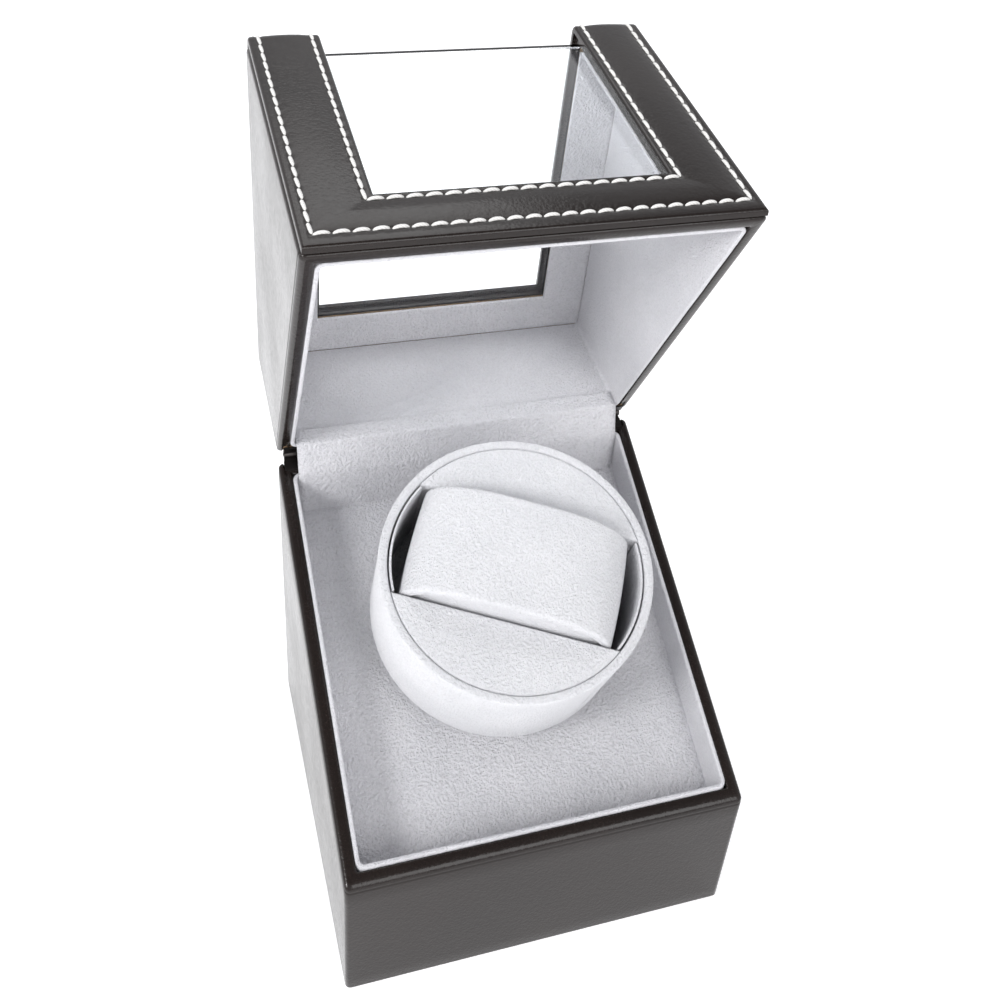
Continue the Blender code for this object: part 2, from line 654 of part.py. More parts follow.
def build_hinge():
    """Continuous hinge along the back, its pin, and the suede strip that hides it inside."""
    base_level = (-RIM_HALF_GAP - HINGE_LEAF, -RIM_HALF_GAP)
    lid_level = (RIM_HALF_GAP, RIM_HALF_GAP + HINGE_LEAF)
    hinge_leaf("hinge_base_leaf", base_level, range(0, KNUCKLES, 2), ON_BASE)
    hinge_leaf("hinge_lid_leaf", lid_level, range(1, KNUCKLES, 2), ON_LID)
    half = HINGE_LENGTH / 2
    pin = along_x(rod(HINGE_PIN, -half, half, segments=12), *HINGE_AXIS.yz)
    part("hinge_pin", pin, STEEL, smooth=True)

    face = HALF_DEPTH - LINER_IN - GAP
    thickness = 0.8 * MM
    back_edge = HALF_DEPTH - LINER_IN

    def on_open_lid(inward, up):
        """Point inside the lid, from its back liner's face and lower edge, with the lid open."""
        arm = Vector((back_edge - inward - HINGE_AXIS.y, split_z(back_edge) + up - HINGE_AXIS.z))
        cos, sin = math.cos(LID_OPEN), math.sin(LID_OPEN)
        return (HINGE_AXIS.y + cos * arm.x + sin * arm.y, HINGE_AXIS.z - sin * arm.x + cos * arm.y)

    rim = split_z(back_edge)
    low = split_z(face, GAP - DECK_DROP)
    far_side = [(face, low), (face, rim - 0.5 * MM),
                on_open_lid(GAP, -0.6 * MM), on_open_lid(GAP, 5.5 * MM)]
    near_side = [(face - thickness, low), (face - thickness, rim - 0.2 * MM),
                 on_open_lid(GAP + thickness, -0.9 * MM), on_open_lid(GAP + thickness, 5.5 * MM)]
    across = HALF_WIDTH - LINER_IN - 2 * GAP
    strip = wall(far_side + near_side[::-1], -across, across)
    part("suede_hinge_strip", strip, PALE_SUEDE)


# Drum and pillow.

def segment_outline(side):
    """Half-moon outline between the slot's edge and the face's rim."""
    start = math.asin(SLOT_HALF / FACE_RADIUS)
    points = arc((0, 0), FACE_RADIUS, start, math.pi - start, 28)
    return [(x, side * y) for x, y in points]


def build_drum():
    """Drum that turns the watch: cup, half-moon faces, slot ends, hub, shaft and screw."""
    inner = FACE_RADIUS + GAP
    crown = (DRUM_RADIUS - inner) / 2
    crown_z = DRUM_FACE - crown + 0.2 * MM
    rim = arc((inner + crown, crown_z), crown, math.pi, 0, 8)
    floor_top = DRUM_BOTTOM + DRUM_FLOOR
    skirt = DRUM_RADIUS - 0.7 * MM
    foot = arc((skirt - 1.2 * MM, DRUM_BOTTOM + 1.2 * MM), 1.2 * MM, 0, -math.pi / 2, 3)
    screw_hole = 1.6 * MM
    profile = rim + foot + [(screw_hole, DRUM_BOTTOM), (screw_hole, floor_top), (inner, floor_top)]
    part("drum_shell", revolved(profile, 56, closed=True), PALE_SUEDE, ON_DRUM, smooth=True)

    wall_low = floor_top + GAP
    wall_half = math.sqrt(FACE_RADIUS ** 2 - (SLOT_HALF + SLOT_WALL) ** 2) - SEAT
    for name, side in (("upper_face_panel", 1), ("lower_face_panel", -1)):
        plate = extruded([segment_outline(side)], DRUM_FACE - FACE_THICK, DRUM_FACE)
        panel = part(name, plate, PALE_SUEDE, ON_DRUM)
        near, away = sorted((side * SLOT_HALF, side * (SLOT_HALF + SLOT_WALL)))
        low, high = (-wall_half, near, wall_low), (wall_half, away, DRUM_FACE - 1 * MM)
        join(panel, tool(f"{name}_wall", box(low, high), ON_DRUM))

    strip_half = SLOT_HALF - GAP
    outer, face = FACE_RADIUS, FACE_RADIUS - SLOT_END_STRIP
    bend, face_bend = math.asin(strip_half / outer), math.asin(strip_half / face)
    for name, turn in (("slot_end_strip_1", 0), ("slot_end_strip_2", math.pi)):
        outline = arc((0, 0), outer, turn - bend, turn + bend, 10)
        outline += arc((0, 0), face, turn + face_bend, turn - face_bend, 10)
        strip = extruded([outline], wall_low, DRUM_FACE - 0.4 * MM)
        part(name, strip, PALE_SUEDE, ON_DRUM)

    flange_top, boss_low = DRUM_BOTTOM - GAP, 1.6 * MM
    flange_low, bore_top = flange_top - 2.2 * MM, 12.5 * MM
    bore = SHAFT + RUNNING_GAP
    hub = [(screw_hole, flange_top), (15 * MM, flange_top), (15 * MM, flange_low),
           (7 * MM, flange_low), (7 * MM, boss_low), (bore, boss_low), (bore, bore_top),
           (screw_hole, bore_top)]
    part("drum_hub", revolved(hub, 40, closed=True), BLACK_PLASTIC, ON_DRUM, smooth=True)
    tapped, tapped_end = 1.5 * MM, 4.5 * MM
    shaft_top, shaft_end = bore_top - GAP, FLOOR_TOP + GAP
    shaft = [(0, tapped_end), (tapped, tapped_end), (tapped, shaft_top), (SHAFT, shaft_top),
             (SHAFT, shaft_end), (0, shaft_end)]
    part("drum_shaft", revolved(shaft, 32), STEEL, ON_DRUM, smooth=True)
    head_low = floor_top + GAP
    screw = [(0, head_low + 1.4 * MM), (1.2 * MM, head_low + 1.4 * MM), (1.2 * MM, head_low + 2.2 * MM),
             (3.4 * MM, head_low + 2.2 * MM), (4 * MM, head_low + 1.4 * MM), (4 * MM, head_low),
             (1.2 * MM, head_low), (1.2 * MM, tapped_end + 1 * MM), (0, tapped_end + 1 * MM)]
    part("hub_screw", revolved(screw, 24), STEEL, ON_DRUM, smooth=True)

    gear = extruded([gear_outline(OUTPUT_TEETH, TOWARD_REDUCTION - SLOT_TURN), circle(bore)],
                    -11.5 * MM, -7.5 * MM)
    part("output_gear", gear, IVORY_NYLON, ON_DRUM)


def crown_outline(half, end_z, top_z, low_z):
    """Crowned cushion outline: a flattened arch over straight ends."""
    points = []
    steps = 22
    for i in range(steps + 1):
        along = math.cos(math.pi * i / steps)
        lift = (1 - abs(along) ** PILLOW_POWER) ** (1 / 1.7)
        points.append((half * along, end_z + (top_z - end_z) * lift))
    return points + [(-half, low_z), (half, low_z)]


def build_pillow():
    """Removable watch pillow: a padded band over a core."""
    low, pad = PILLOW_LOW, PILLOW_PAD
    end, top = DRUM_FACE - pad, DRUM_FACE + PILLOW_CROWN
    half_depth = SLOT_HALF - 0.5 * MM
    band = crown_outline(PILLOW_HALF, end, top, low)
    hollow = crown_outline(PILLOW_HALF - pad, end - pad / 2, top - pad, low - 2 * MM)
    pillow = part("watch_pillow", extruded([band], -half_depth, half_depth, "XZ"), PALE_SUEDE, ON_DRUM)
    cut(pillow, tool("pillow_hollow", extruded([hollow], -half_depth - MM, half_depth + MM, "XZ"), ON_DRUM))
    core = crown_outline(PILLOW_HALF - pad - GAP, end - pad / 2 - GAP, top - pad - GAP, low)
    core_half = half_depth - 0.7 * MM
    part("pillow_core", extruded([core], -core_half, core_half, "XZ"), CORE_FOAM, ON_DRUM)


# Drive.

GEARBOX_SCREWS = ((GEARBOX_LOW[0] - EAR / 2, -10 * MM), (GEARBOX_HIGH[0] + EAR / 2, -10 * MM))


def build_gearbox():
    """Housing under the deck, its cover, screws, bearing and fixed arbors."""
    tray = extruded([rounded_rectangle(GEARBOX_LOW, GEARBOX_HIGH, 4 * MM)], FLOOR_BOTTOM,
                    COVER_BOTTOM - GAP)
    housing = part("gearbox_housing", tray, BLACK_PLASTIC, ON_DECK)
    low = [value + GEARBOX_WALL for value in GEARBOX_LOW]
    high = [value - GEARBOX_WALL for value in GEARBOX_HIGH]
    room = extruded([rounded_rectangle(low, high, 2 * MM)], FLOOR_TOP, 0)
    cut(housing, tool("gearbox_room", room, ON_DECK))

    low = (GEARBOX_LOW[0] - EAR, GEARBOX_LOW[1])
    high = (GEARBOX_HIGH[0] + EAR, GEARBOX_HIGH[1])
    holes = [circle(5.3 * MM)] + [circle(1.5 * MM, 16, at) for at in GEARBOX_SCREWS]
    cover = extruded([rounded_rectangle(low, high, 4 * MM)] + holes, COVER_BOTTOM, COVER_TOP)
    part("gearbox_cover", cover, BLACK_PLASTIC, ON_DECK)

    head_top = COVER_BOTTOM - GAP
    for number, at in enumerate(GEARBOX_SCREWS, 1):
        screw = [(0, -1.4 * MM), (1.2 * MM, -1.4 * MM), (1.2 * MM, head_top), (2.8 * MM, head_top),
                 (2.6 * MM, head_top - 1.6 * MM), (1 * MM, head_top - 1.6 * MM),
                 (1 * MM, head_top - 0.8 * MM), (0, head_top - 0.8 * MM)]
        mesh = turned_onto(revolved(screw, 20), Matrix.Translation((*at, 0)))
        part(f"gearbox_screw_{number}", mesh, STEEL, ON_DECK, smooth=True)

    bore = SHAFT + RUNNING_GAP
    bush = [(bore, 1.3 * MM), (7 * MM, 1.3 * MM), (7 * MM, GAP), (5 * MM, GAP),
            (5 * MM, COVER_BOTTOM), (bore, COVER_BOTTOM)]
    part("shaft_bearing", revolved(bush, 40, closed=True), BRASS, ON_DECK, smooth=True)
    pin_low, pin_high = FLOOR_TOP + GAP, COVER_BOTTOM - GAP
    part("arbor_pin_1", rod(ARBOR, pin_low, pin_high, segments=20), STEEL, ON_PULLEY, smooth=True)
    part("arbor_pin_2", rod(ARBOR, pin_low, pin_high, segments=20), STEEL, ON_REDUCTION, smooth=True)


def pulley_profile(radius, bore, half_width):
    """Grooved pulley about the belt's level, down its outer side and back up its bore."""
    return [(bore, BELT_LEVEL + half_width), (radius, BELT_LEVEL + half_width),
            (radius, BELT_LEVEL + BELT * 0.75), (radius - GROOVE_DEPTH, BELT_LEVEL + BELT * 0.6),
            (radius - GROOVE_DEPTH, BELT_LEVEL - BELT * 0.6), (radius, BELT_LEVEL - BELT * 0.75),
            (radius, BELT_LEVEL - half_width), (bore, BELT_LEVEL - half_width)]


def belt_outline(small, large):
    """Loop round two circles: the small one at the motor, the large one at the pulley."""
    away = PULLEY_AT - MOTOR_AT
    heading = math.atan2(away.y, away.x)
    lean = math.acos((large - small) / away.length)
    points = arc(PULLEY_AT, large, heading - math.pi + lean, heading + math.pi - lean, 30)
    return points + arc(MOTOR_AT, small, heading + math.pi - lean, heading + math.pi + lean, 14)


def build_drive():
    """Motor, belt and two gear steps down to the drum."""
    bore = ARBOR + RUNNING_GAP
    wheel = part("belt_pulley", revolved(pulley_profile(PULLEY_RADIUS, bore, 1.4 * MM), 48, closed=True),
                 IVORY_NYLON, ON_PULLEY)
    phase = TOWARD_PULLEY + math.pi + math.pi / PINION_TEETH
    pinion = extruded([gear_outline(PINION_TEETH, phase), circle(bore, 16)],
                      BELT_LEVEL + 1.0 * MM, -13.4 * MM)
    join(wheel, tool("pulley_pinion", pinion, ON_PULLEY))

    gear = extruded([gear_outline(REDUCTION_TEETH, TOWARD_PULLEY), circle(bore, 20)], -17 * MM, -13.5 * MM)
    wheel = part("reduction_gear", gear, IVORY_NYLON, ON_REDUCTION)
    phase = TOWARD_REDUCTION + math.pi + math.pi / PINION_TEETH
    pinion = extruded([gear_outline(PINION_TEETH, phase), circle(bore * 0.999, 20)], -14 * MM, -6.5 * MM)
    join(wheel, tool("reduction_pinion", pinion, ON_REDUCTION))

    can_top, can_low = COVER_BOTTOM - GAP, -17.6 * MM
    hole = ARBOR + RUNNING_GAP
    can = [(0, can_top), (MOTOR_RADIUS - 1 * MM, can_top), (MOTOR_RADIUS, can_top - 1 * MM),
           (MOTOR_RADIUS, can_low), (hole, can_low), (hole, can_low + 9 * MM), (0, can_low + 9 * MM)]
    part("motor_can", revolved(can, 40), STEEL, ON_MOTOR, smooth=True)
    spindle_top = can_low + 8.5 * MM
    profile = pulley_profile(MOTOR_PULLEY_RADIUS, ARBOR, 1.4 * MM)
    profile = [(0, spindle_top), (ARBOR, spindle_top)] + profile[:-1] + [(0, BELT_LEVEL - 1.4 * MM)]
    part("motor_pulley", revolved(profile, 24), BRASS, ON_MOTOR, smooth=True)

    seat = GAP - GROOVE_DEPTH
    inner = belt_outline(MOTOR_PULLEY_RADIUS + seat, PULLEY_RADIUS + seat)
    outer = belt_outline(MOTOR_PULLEY_RADIUS + seat + BELT, PULLEY_RADIUS + seat + BELT)
    loop = extruded([outer, inner], BELT_LEVEL - BELT / 2, BELT_LEVEL + BELT / 2)
    part("drive_belt", loop, RUBBER, ON_DECK)


def build_electrics():
    """Control board inside, and the rear plate with its inlet, switch and screws."""
    board_y = HALF_DEPTH - 19 * MM
    low = (-20 * MM, board_y, 9 * MM)
    board = part("control_board", box(low, (20 * MM, board_y + 1.6 * MM, 31 * MM)), GREEN_BOARD)
    for number, (x, z, width, tall, deep) in enumerate(((-12, 24, 9, 6, 2.2), (2, 25, 7, 7, 6),
                                                        (12, 14, 12, 7, 8), (-10, 13, 6, 4, 3))):
        chip = box(((x - width / 2) * MM, board_y - deep * MM, (z - tall / 2) * MM),
                   ((x + width / 2) * MM, board_y + 0.8 * MM, (z + tall / 2) * MM))
        join(board, tool(f"board_component_{number}", chip))

    plate_low = HALF_DEPTH + GAP
    corners = ((-PLATE_HALF[0], PLATE_Z - PLATE_HALF[1]), (PLATE_HALF[0], PLATE_Z + PLATE_HALF[1]))
    slot = rounded_rectangle((SWITCH_X - 3.8 * MM, PLATE_Z - 1.7 * MM),
                             (SWITCH_X + 3.8 * MM, PLATE_Z + 1.7 * MM), 0.5 * MM, 2)
    loops = [rounded_rectangle(*corners, 3 * MM), circle(4.4 * MM, 32, (INLET_X, PLATE_Z)), slot]
    loops += [circle(1.3 * MM, 16, (side * PLATE_SCREW_X, PLATE_Z)) for side in (-1, 1)]
    part("rear_plate", extruded(loops, plate_low, PLATE_BACK, "XZ"), BLACK_PLASTIC)

    mouth, end = 2.8 * MM, -11 * MM
    inlet = [(0, mouth - 1.2 * MM), (0.9 * MM, mouth - 1.2 * MM), (0.9 * MM, mouth - 10 * MM),
             (2.75 * MM, mouth - 10 * MM), (2.75 * MM, mouth), (4.1 * MM, mouth), (4.1 * MM, end), (0, end)]
    part("dc_inlet", along_y(revolved(inlet, 32), INLET_X, HALF_DEPTH, PLATE_Z), BLACK_PLASTIC, smooth=True)

    half = (5.5 * MM, 3.5 * MM)
    low = (SWITCH_X - half[0], HALF_DEPTH - 7 * MM, PLATE_Z - half[1])
    body = part("mode_switch_body", box(low, (SWITCH_X + half[0], HALF_DEPTH, PLATE_Z + half[1])),
                BLACK_PLASTIC)
    low = (SWITCH_X - 3.8 * MM, HALF_DEPTH - 2.5 * MM, PLATE_Z - 1.7 * MM)
    cut(body, tool("switch_slot", box(low, (SWITCH_X + 3.8 * MM, HALF_DEPTH + MM, PLATE_Z + 1.7 * MM))))
    low = (SWITCH_X - 1.4 * MM, HALF_DEPTH - 2.2 * MM, PLATE_Z - 1.3 * MM)
    high = (SWITCH_X + 1.4 * MM, PLATE_BACK + 2.2 * MM, PLATE_Z + 1.3 * MM)
    lever = part("mode_switch_lever", box(low, high), IVORY_NYLON)
    round_edges(lever, 0.3 * MM, 2)

    head_low = PLATE_BACK - HALF_DEPTH + GAP
    screw = [(0, head_low + 0.6 * MM), (0.9 * MM, head_low + 0.6 * MM), (0.9 * MM, head_low + 1.1 * MM),
             (1.7 * MM, head_low + 1.1 * MM), (2.1 * MM, head_low), (1 * MM, head_low),
             (1 * MM, -4 * MM), (0, -4 * MM)]
    for number, side in ((1, -1), (2, 1)):
        mesh = along_y(revolved(screw, 20), side * PLATE_SCREW_X, HALF_DEPTH, PLATE_Z)
        part(f"rear_plate_screw_{number}", mesh, STEEL, smooth=True)


PORT_TOOLS = rear_port_tools()
BASE_MORTISE, LID_MORTISE = hinge_mortises()
build_base_shell(PORT_TOOLS, BASE_MORTISE)
build_lid_leather(LID_MORTISE)
build_lid_boards()
build_panes()
build_lid_liners()
build_hinge()
build_drum()
build_pillow()
build_gearbox()
build_drive()
build_electrics()
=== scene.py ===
"""Looks of the watch winder box: leather, stitching, suede, drum, pillow and the studio.

Every piece is built in place, in metres, with +X to the right, +Y to the back and +Z up. Lid pieces
are worked out for the closed lid and then swung open about the hinge. Drum pieces are worked out in
the drum's own frame, whose Z is the drum's axis and whose X runs along the pillow slot.
"""

import json
import math

import bmesh
import bpy
import numpy as np
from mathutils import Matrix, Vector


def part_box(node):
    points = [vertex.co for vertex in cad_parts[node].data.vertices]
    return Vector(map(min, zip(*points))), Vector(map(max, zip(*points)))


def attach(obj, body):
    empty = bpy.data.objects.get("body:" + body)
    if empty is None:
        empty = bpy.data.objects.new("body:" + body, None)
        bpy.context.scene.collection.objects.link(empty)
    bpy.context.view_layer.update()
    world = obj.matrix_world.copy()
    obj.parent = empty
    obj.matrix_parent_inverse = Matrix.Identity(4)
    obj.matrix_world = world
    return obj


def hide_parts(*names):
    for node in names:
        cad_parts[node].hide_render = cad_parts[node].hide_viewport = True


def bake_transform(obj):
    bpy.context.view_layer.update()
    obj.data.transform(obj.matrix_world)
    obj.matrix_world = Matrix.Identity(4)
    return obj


bl_info = {
    "name": "Watch winder box",
    "version": (1, 0, 0),
    "blender": (4, 5, 0),
    "location": "3D View > Sidebar > Winder",
    "description": "Builds the looks of a slanted watch winder box round its packed frame",
    "category": "Object",
}

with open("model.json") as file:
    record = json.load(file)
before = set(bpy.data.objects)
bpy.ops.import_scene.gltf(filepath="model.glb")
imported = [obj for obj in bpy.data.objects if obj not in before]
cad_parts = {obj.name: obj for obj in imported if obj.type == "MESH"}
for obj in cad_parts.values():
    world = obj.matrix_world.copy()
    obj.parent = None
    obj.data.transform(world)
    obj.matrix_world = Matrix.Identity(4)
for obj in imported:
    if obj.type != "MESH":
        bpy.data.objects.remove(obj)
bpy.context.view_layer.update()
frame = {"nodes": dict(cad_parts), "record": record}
MM = 0.001


# Measures taken from the frame.

JOINTS = {joint["name"]: joint for joint in frame["record"]["behaviour"]["joints"]}
HINGE = np.array(JOINTS["lid_hinge"]["pos_m"])
LID_OPEN = math.radians(JOINTS["lid_hinge"]["range_deg"][1])
DRUM_AT = np.array(JOINTS["drum_spin"]["pos_m"])
DRUM_AXIS = np.array(JOINTS["drum_spin"]["axis"])
SLANT = math.atan2(-DRUM_AXIS[1], DRUM_AXIS[2])
SLOT_TURN = math.radians(-25)


def swing(points, angle):
    """Turn points about the hinge by an angle, from closed towards open when it is positive."""
    cos, sin = math.cos(angle), math.sin(angle)
    y, z = points[..., 1] - HINGE[1], points[..., 2] - HINGE[2]
    return np.stack([points[..., 0], HINGE[1] + cos * y + sin * z, HINGE[2] - sin * y + cos * z], -1)


def on_lid(points):
    """Place points of the closed lid where the open lid stands."""
    return swing(points, LID_OPEN)


def on_deck(points):
    """Place points of the sloping deck's frame, whose origin is where the drum's axis meets it."""
    cos, sin = math.cos(SLANT), math.sin(SLANT)
    x, y, z = points[..., 0], points[..., 1], points[..., 2]
    return np.stack([x, DRUM_AT[1] + cos * y - sin * z, DRUM_AT[2] + sin * y + cos * z], -1)


def on_drum(points):
    """Place points of the drum's frame: turned by the slot's angle, then laid on the deck."""
    cos, sin = math.cos(SLOT_TURN), math.sin(SLOT_TURN)
    x, y, z = points[..., 0], points[..., 1], points[..., 2]
    return on_deck(np.stack([cos * x - sin * y, sin * x + cos * y, z], -1))


def node_points(node):
    """A CAD node's vertices."""
    data = frame["nodes"][node].data
    points = np.empty(len(data.vertices) * 3)
    data.vertices.foreach_get("co", points)
    return points.reshape(-1, 3)


def closed_box(node):
    """Lowest and highest corners of a lid node when the lid is shut."""
    points = swing(node_points(node), -LID_OPEN)
    return points.min(0), points.max(0)


HALF_WIDTH, HALF_DEPTH = np.array(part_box("base_leather_wrap")[1])[:2]
LID_LOW, LID_HIGH = closed_box("lid_leather_wrap")
TRIM_LOW, TRIM_HIGH = closed_box("lid_trim_panel")
HEIGHT = LID_HIGH[2]
RIM_HALF_GAP = 0.3 * MM
FRONT_SPLIT = LID_LOW[2] - RIM_HALF_GAP / math.cos(SLANT)
LINER_OUT = 4.0 * MM
LINER = 1.3 * MM
LINER_IN = LINER_OUT + LINER
WINDOW_HALF = 39.0 * MM
WINDOW_SILL = 70.9 * MM
WINDOW_BACK = 39.8 * MM
REVEAL = 2.2 * MM
REVEAL_STEP = 1.0 * MM
LINER_SETBACK = 1.3 * MM
LINER_LIP = 0.15 * MM
LINER_CORNER = 1.0 * MM
WRAP_THICK = 0.6 * MM
RETURN_DEPTH = 3.4 * MM
MOUTH = 0.7 * MM
DECK_DROP = 15.5 * MM
DECK_THICK = 3.0 * MM
HINGE_HALF = 58.3 * MM
HINGE_RECESS = 0.75 * MM
CORNER_STEPS = 6
DRUM_RADIUS = 40.6 * MM
FACE_RADIUS = 37.6 * MM
DRUM_FACE = 50.4 * MM
DRUM_BOTTOM = 14.0 * MM
CUP_FLOOR = 2.5 * MM
CUP_WALL_FOOT = DRUM_BOTTOM + CUP_FLOOR + 0.3 * MM
SLOT_HALF = 17.3 * MM
PILLOW_HALF = 31.8 * MM
PILLOW_CROWN = 9.5 * MM
PILLOW_LOW = 21 * MM


def split_z(y, offset=0.0):
    """Height of the slanted split at a depth, moved square to it by an offset."""
    return FRONT_SPLIT + (y + HALF_DEPTH) * math.tan(SLANT) + offset / math.cos(SLANT)


# Sizes and colours that a user may change.

def length(name, description, default):
    """A length property in metres."""
    return bpy.props.FloatProperty(name=name, description=description, default=default, min=0.0,
                                   subtype="DISTANCE", unit="LENGTH", precision=5)


def colour(name, description, default):
    """A colour property."""
    return bpy.props.FloatVectorProperty(name=name, description=description, default=default, size=3,
                                         subtype="COLOR", min=0.0, max=1.0)


class WinderSizes(bpy.types.PropertyGroup):
    """Sizes of the finishing work."""
    edge_round: length("Leather edge", "Radius of the leather's folded edges", 1.6 * MM)
    stitch_pitch: length("Stitch pitch", "Distance from one stitch to the next", 4.75 * MM)
    thread: length("Thread", "Thickness of the stitching thread", 1.05 * MM)
    outer_seam: length("Outer seam", "Distance of the outer stitches from the trim's sides", 3.0 * MM)
    lower_seam: length("Lower seam", "Distance of the outer stitches from the trim's foot", 4.8 * MM)
    inner_seam: length("Inner seam", "Distance of the inner stitch line from the window", 2.4 * MM)
    trim_fold: length("Trim fold", "Radius inside the trim's fold over the top front corner", 0.6 * MM)
    liner_edge: length("Liner edge", "Radius of the soft edges of the suede liners", 0.5 * MM)
    pillow_pad: length("Pillow pad", "Thickness of the pillow's padded band", 3.0 * MM)


class WinderColours(bpy.types.PropertyGroup):
    """Colours of the finishing work."""
    leather: colour("Leather", "Brown imitation leather", (0.0115, 0.0080, 0.0070))
    suede: colour("Suede", "Pale grey velour of the deck and liners", (0.71, 0.705, 0.735))
    drum_suede: colour("Drum suede", "Near-white velour of the drum and pillow", (0.775, 0.775, 0.80))
    thread: colour("Thread", "White stitching thread", (0.80, 0.79, 0.77))
    board: colour("Board", "Fibreboard of the walls", (0.36, 0.24, 0.14))
    nylon: colour("Nylon", "Natural nylon of the gears", (0.75, 0.72, 0.62))
    steel: colour("Steel", "Plated steel", (0.62, 0.62, 0.64))
    brass: colour("Brass", "Turned brass", (0.78, 0.58, 0.28))
    circuit: colour("Circuit board", "Glass-epoxy board", (0.02, 0.16, 0.06))


def sizes():
    """The sizes set on the scene."""
    return bpy.context.scene.winder_sizes


def colours():
    """The colours set on the scene."""
    return bpy.context.scene.winder_colours


# Shader expressions.

class Wire:
    """A shader socket that takes part in Python expressions by adding Math nodes."""

    def __init__(self, graph, socket):
        self.graph = graph
        self.socket = socket

    def math(self, operation, *values):
        """Add one Math node."""
        return self.graph.add("ShaderNodeMath", {"operation": operation}, dict(enumerate(values)))

    def __add__(self, other):
        return self.math("ADD", self, other)

    def __sub__(self, other):
        return self.math("SUBTRACT", self, other)

    def __rsub__(self, other):
        return self.math("SUBTRACT", other, self)

    def __mul__(self, other):
        return self.math("MULTIPLY", self, other)

    __radd__ = __add__
    __rmul__ = __mul__


class Graph:
    """The node tree of a new material, or of the world that is given."""

    def __init__(self, name, world=None):
        self.owner = world or bpy.data.materials.new(name)
        self.owner.use_nodes = True
        self.tree = self.owner.node_tree
        self.tree.nodes.clear()

    def add(self, kind, settings=None, values=None, output=0):
        """Add a node: first its settings, then the values or links of its sockets."""
        node = self.tree.nodes.new(kind)
        for key, value in (settings or {}).items():
            setattr(node, key, value)
        for key, value in (values or {}).items():
            if isinstance(value, Wire):
                self.tree.links.new(value.socket, node.inputs[key])
            else:
                node.inputs[key].default_value = value
        return Wire(self, node.outputs[output]) if node.outputs else None

    def place(self, scale=(1.0, 1.0, 1.0), turn=(0.0, 0.0, 0.0)):
        """Object coordinates, stretched and turned by a Mapping node."""
        coordinates = self.add("ShaderNodeTexCoord", output="Object")
        return self.add("ShaderNodeMapping", None,
                        {"Vector": coordinates, "Scale": scale, "Rotation": turn})

    def noise(self, where, scale, detail=2.0, roughness=0.5):
        """Noise between 0 and 1."""
        return self.add("ShaderNodeTexNoise", None,
                        {"Vector": where, "Scale": scale, "Detail": detail, "Roughness": roughness})

    def cells(self, where, scale, smoothness=0.6):
        """Distance to the nearest cell centre, with the edges between cells smoothed."""
        return self.add("ShaderNodeTexVoronoi", {"feature": "SMOOTH_F1"},
                        {"Vector": where, "Scale": scale, "Smoothness": smoothness})

    def blend(self, share, first, second):
        """Colour mixed from two by a share."""
        return self.add("ShaderNodeMix", {"data_type": "RGBA"}, {0: share, 6: first, 7: second}, 2)

    def spread(self, value, low, high, to_low=0.0, to_high=1.0):
        """Map a value from one range to another, clamped."""
        return self.add("ShaderNodeMapRange", None, {0: value, 1: low, 2: high, 3: to_low, 4: to_high})

    def bump(self, height, strength, distance):
        """Normal raised by a height."""
        return self.add("ShaderNodeBump", None,
                        {"Height": height, "Strength": strength, "Distance": distance})

    def finish(self, **values):
        """End in a Principled shader. Underscores in the names stand for spaces."""
        values = {key.replace("_", " "): value for key, value in values.items()}
        return self.end(self.add("ShaderNodeBsdfPrincipled", None, values))

    def end(self, shader, kind="ShaderNodeOutputMaterial"):
        """End in an output node of a kind, fed by a shader."""
        self.add(kind, None, {"Surface": shader})
        return self.owner


def tint(base, factor, warm=0.0):
    """A colour scaled by a factor, with a little warmth added, as an RGBA tuple."""
    red, green, blue = (min(1.0, channel * factor) for channel in base)
    return (min(1.0, red * (1 + warm)), green, max(0.0, blue * (1 - warm)), 1.0)


# Materials.

WHITE = (1.0, 1.0, 1.0, 1.0)
SKY_TONE = (0.97, 0.975, 1.0)


def leather_finish():
    """Fine-grained satin leather: small pebbles, pores, faint clouding and duller patches."""
    g = Graph("brown_leather")
    at = g.place()
    base = colours().leather
    clouds = g.noise(at, 28.0, 3.0)
    pebbles = g.cells(at, 1150.0)
    creases = g.noise(at, 520.0, 3.0, 0.6)
    pores = g.noise(at, 3600.0, 1.0)
    clouded = g.blend(g.spread(clouds, 0.35, 0.65), tint(base, 0.90, 0.01), tint(base, 1.10, 0.03))
    dark = g.spread(pebbles, 0.25, 0.75, 0.0, 0.35)
    grained = g.blend(dark, clouded, tint(base, 0.62))
    speck = g.spread(pores, 0.62, 0.72, 0.0, 0.35)
    speckled = g.blend(speck, grained, tint(base, 1.6, -0.03))
    height = (1.0 - pebbles) * 0.7 + creases * 0.8 + pores * 0.25
    return g.finish(Base_Color=speckled, Roughness=g.spread(creases + clouds, 0.7, 1.3, 0.14, 0.26),
                    Normal=g.bump(height, 0.45, 0.00012), Specular_IOR_Level=0.26,
                    Coat_Weight=0.12, Coat_Roughness=0.1)


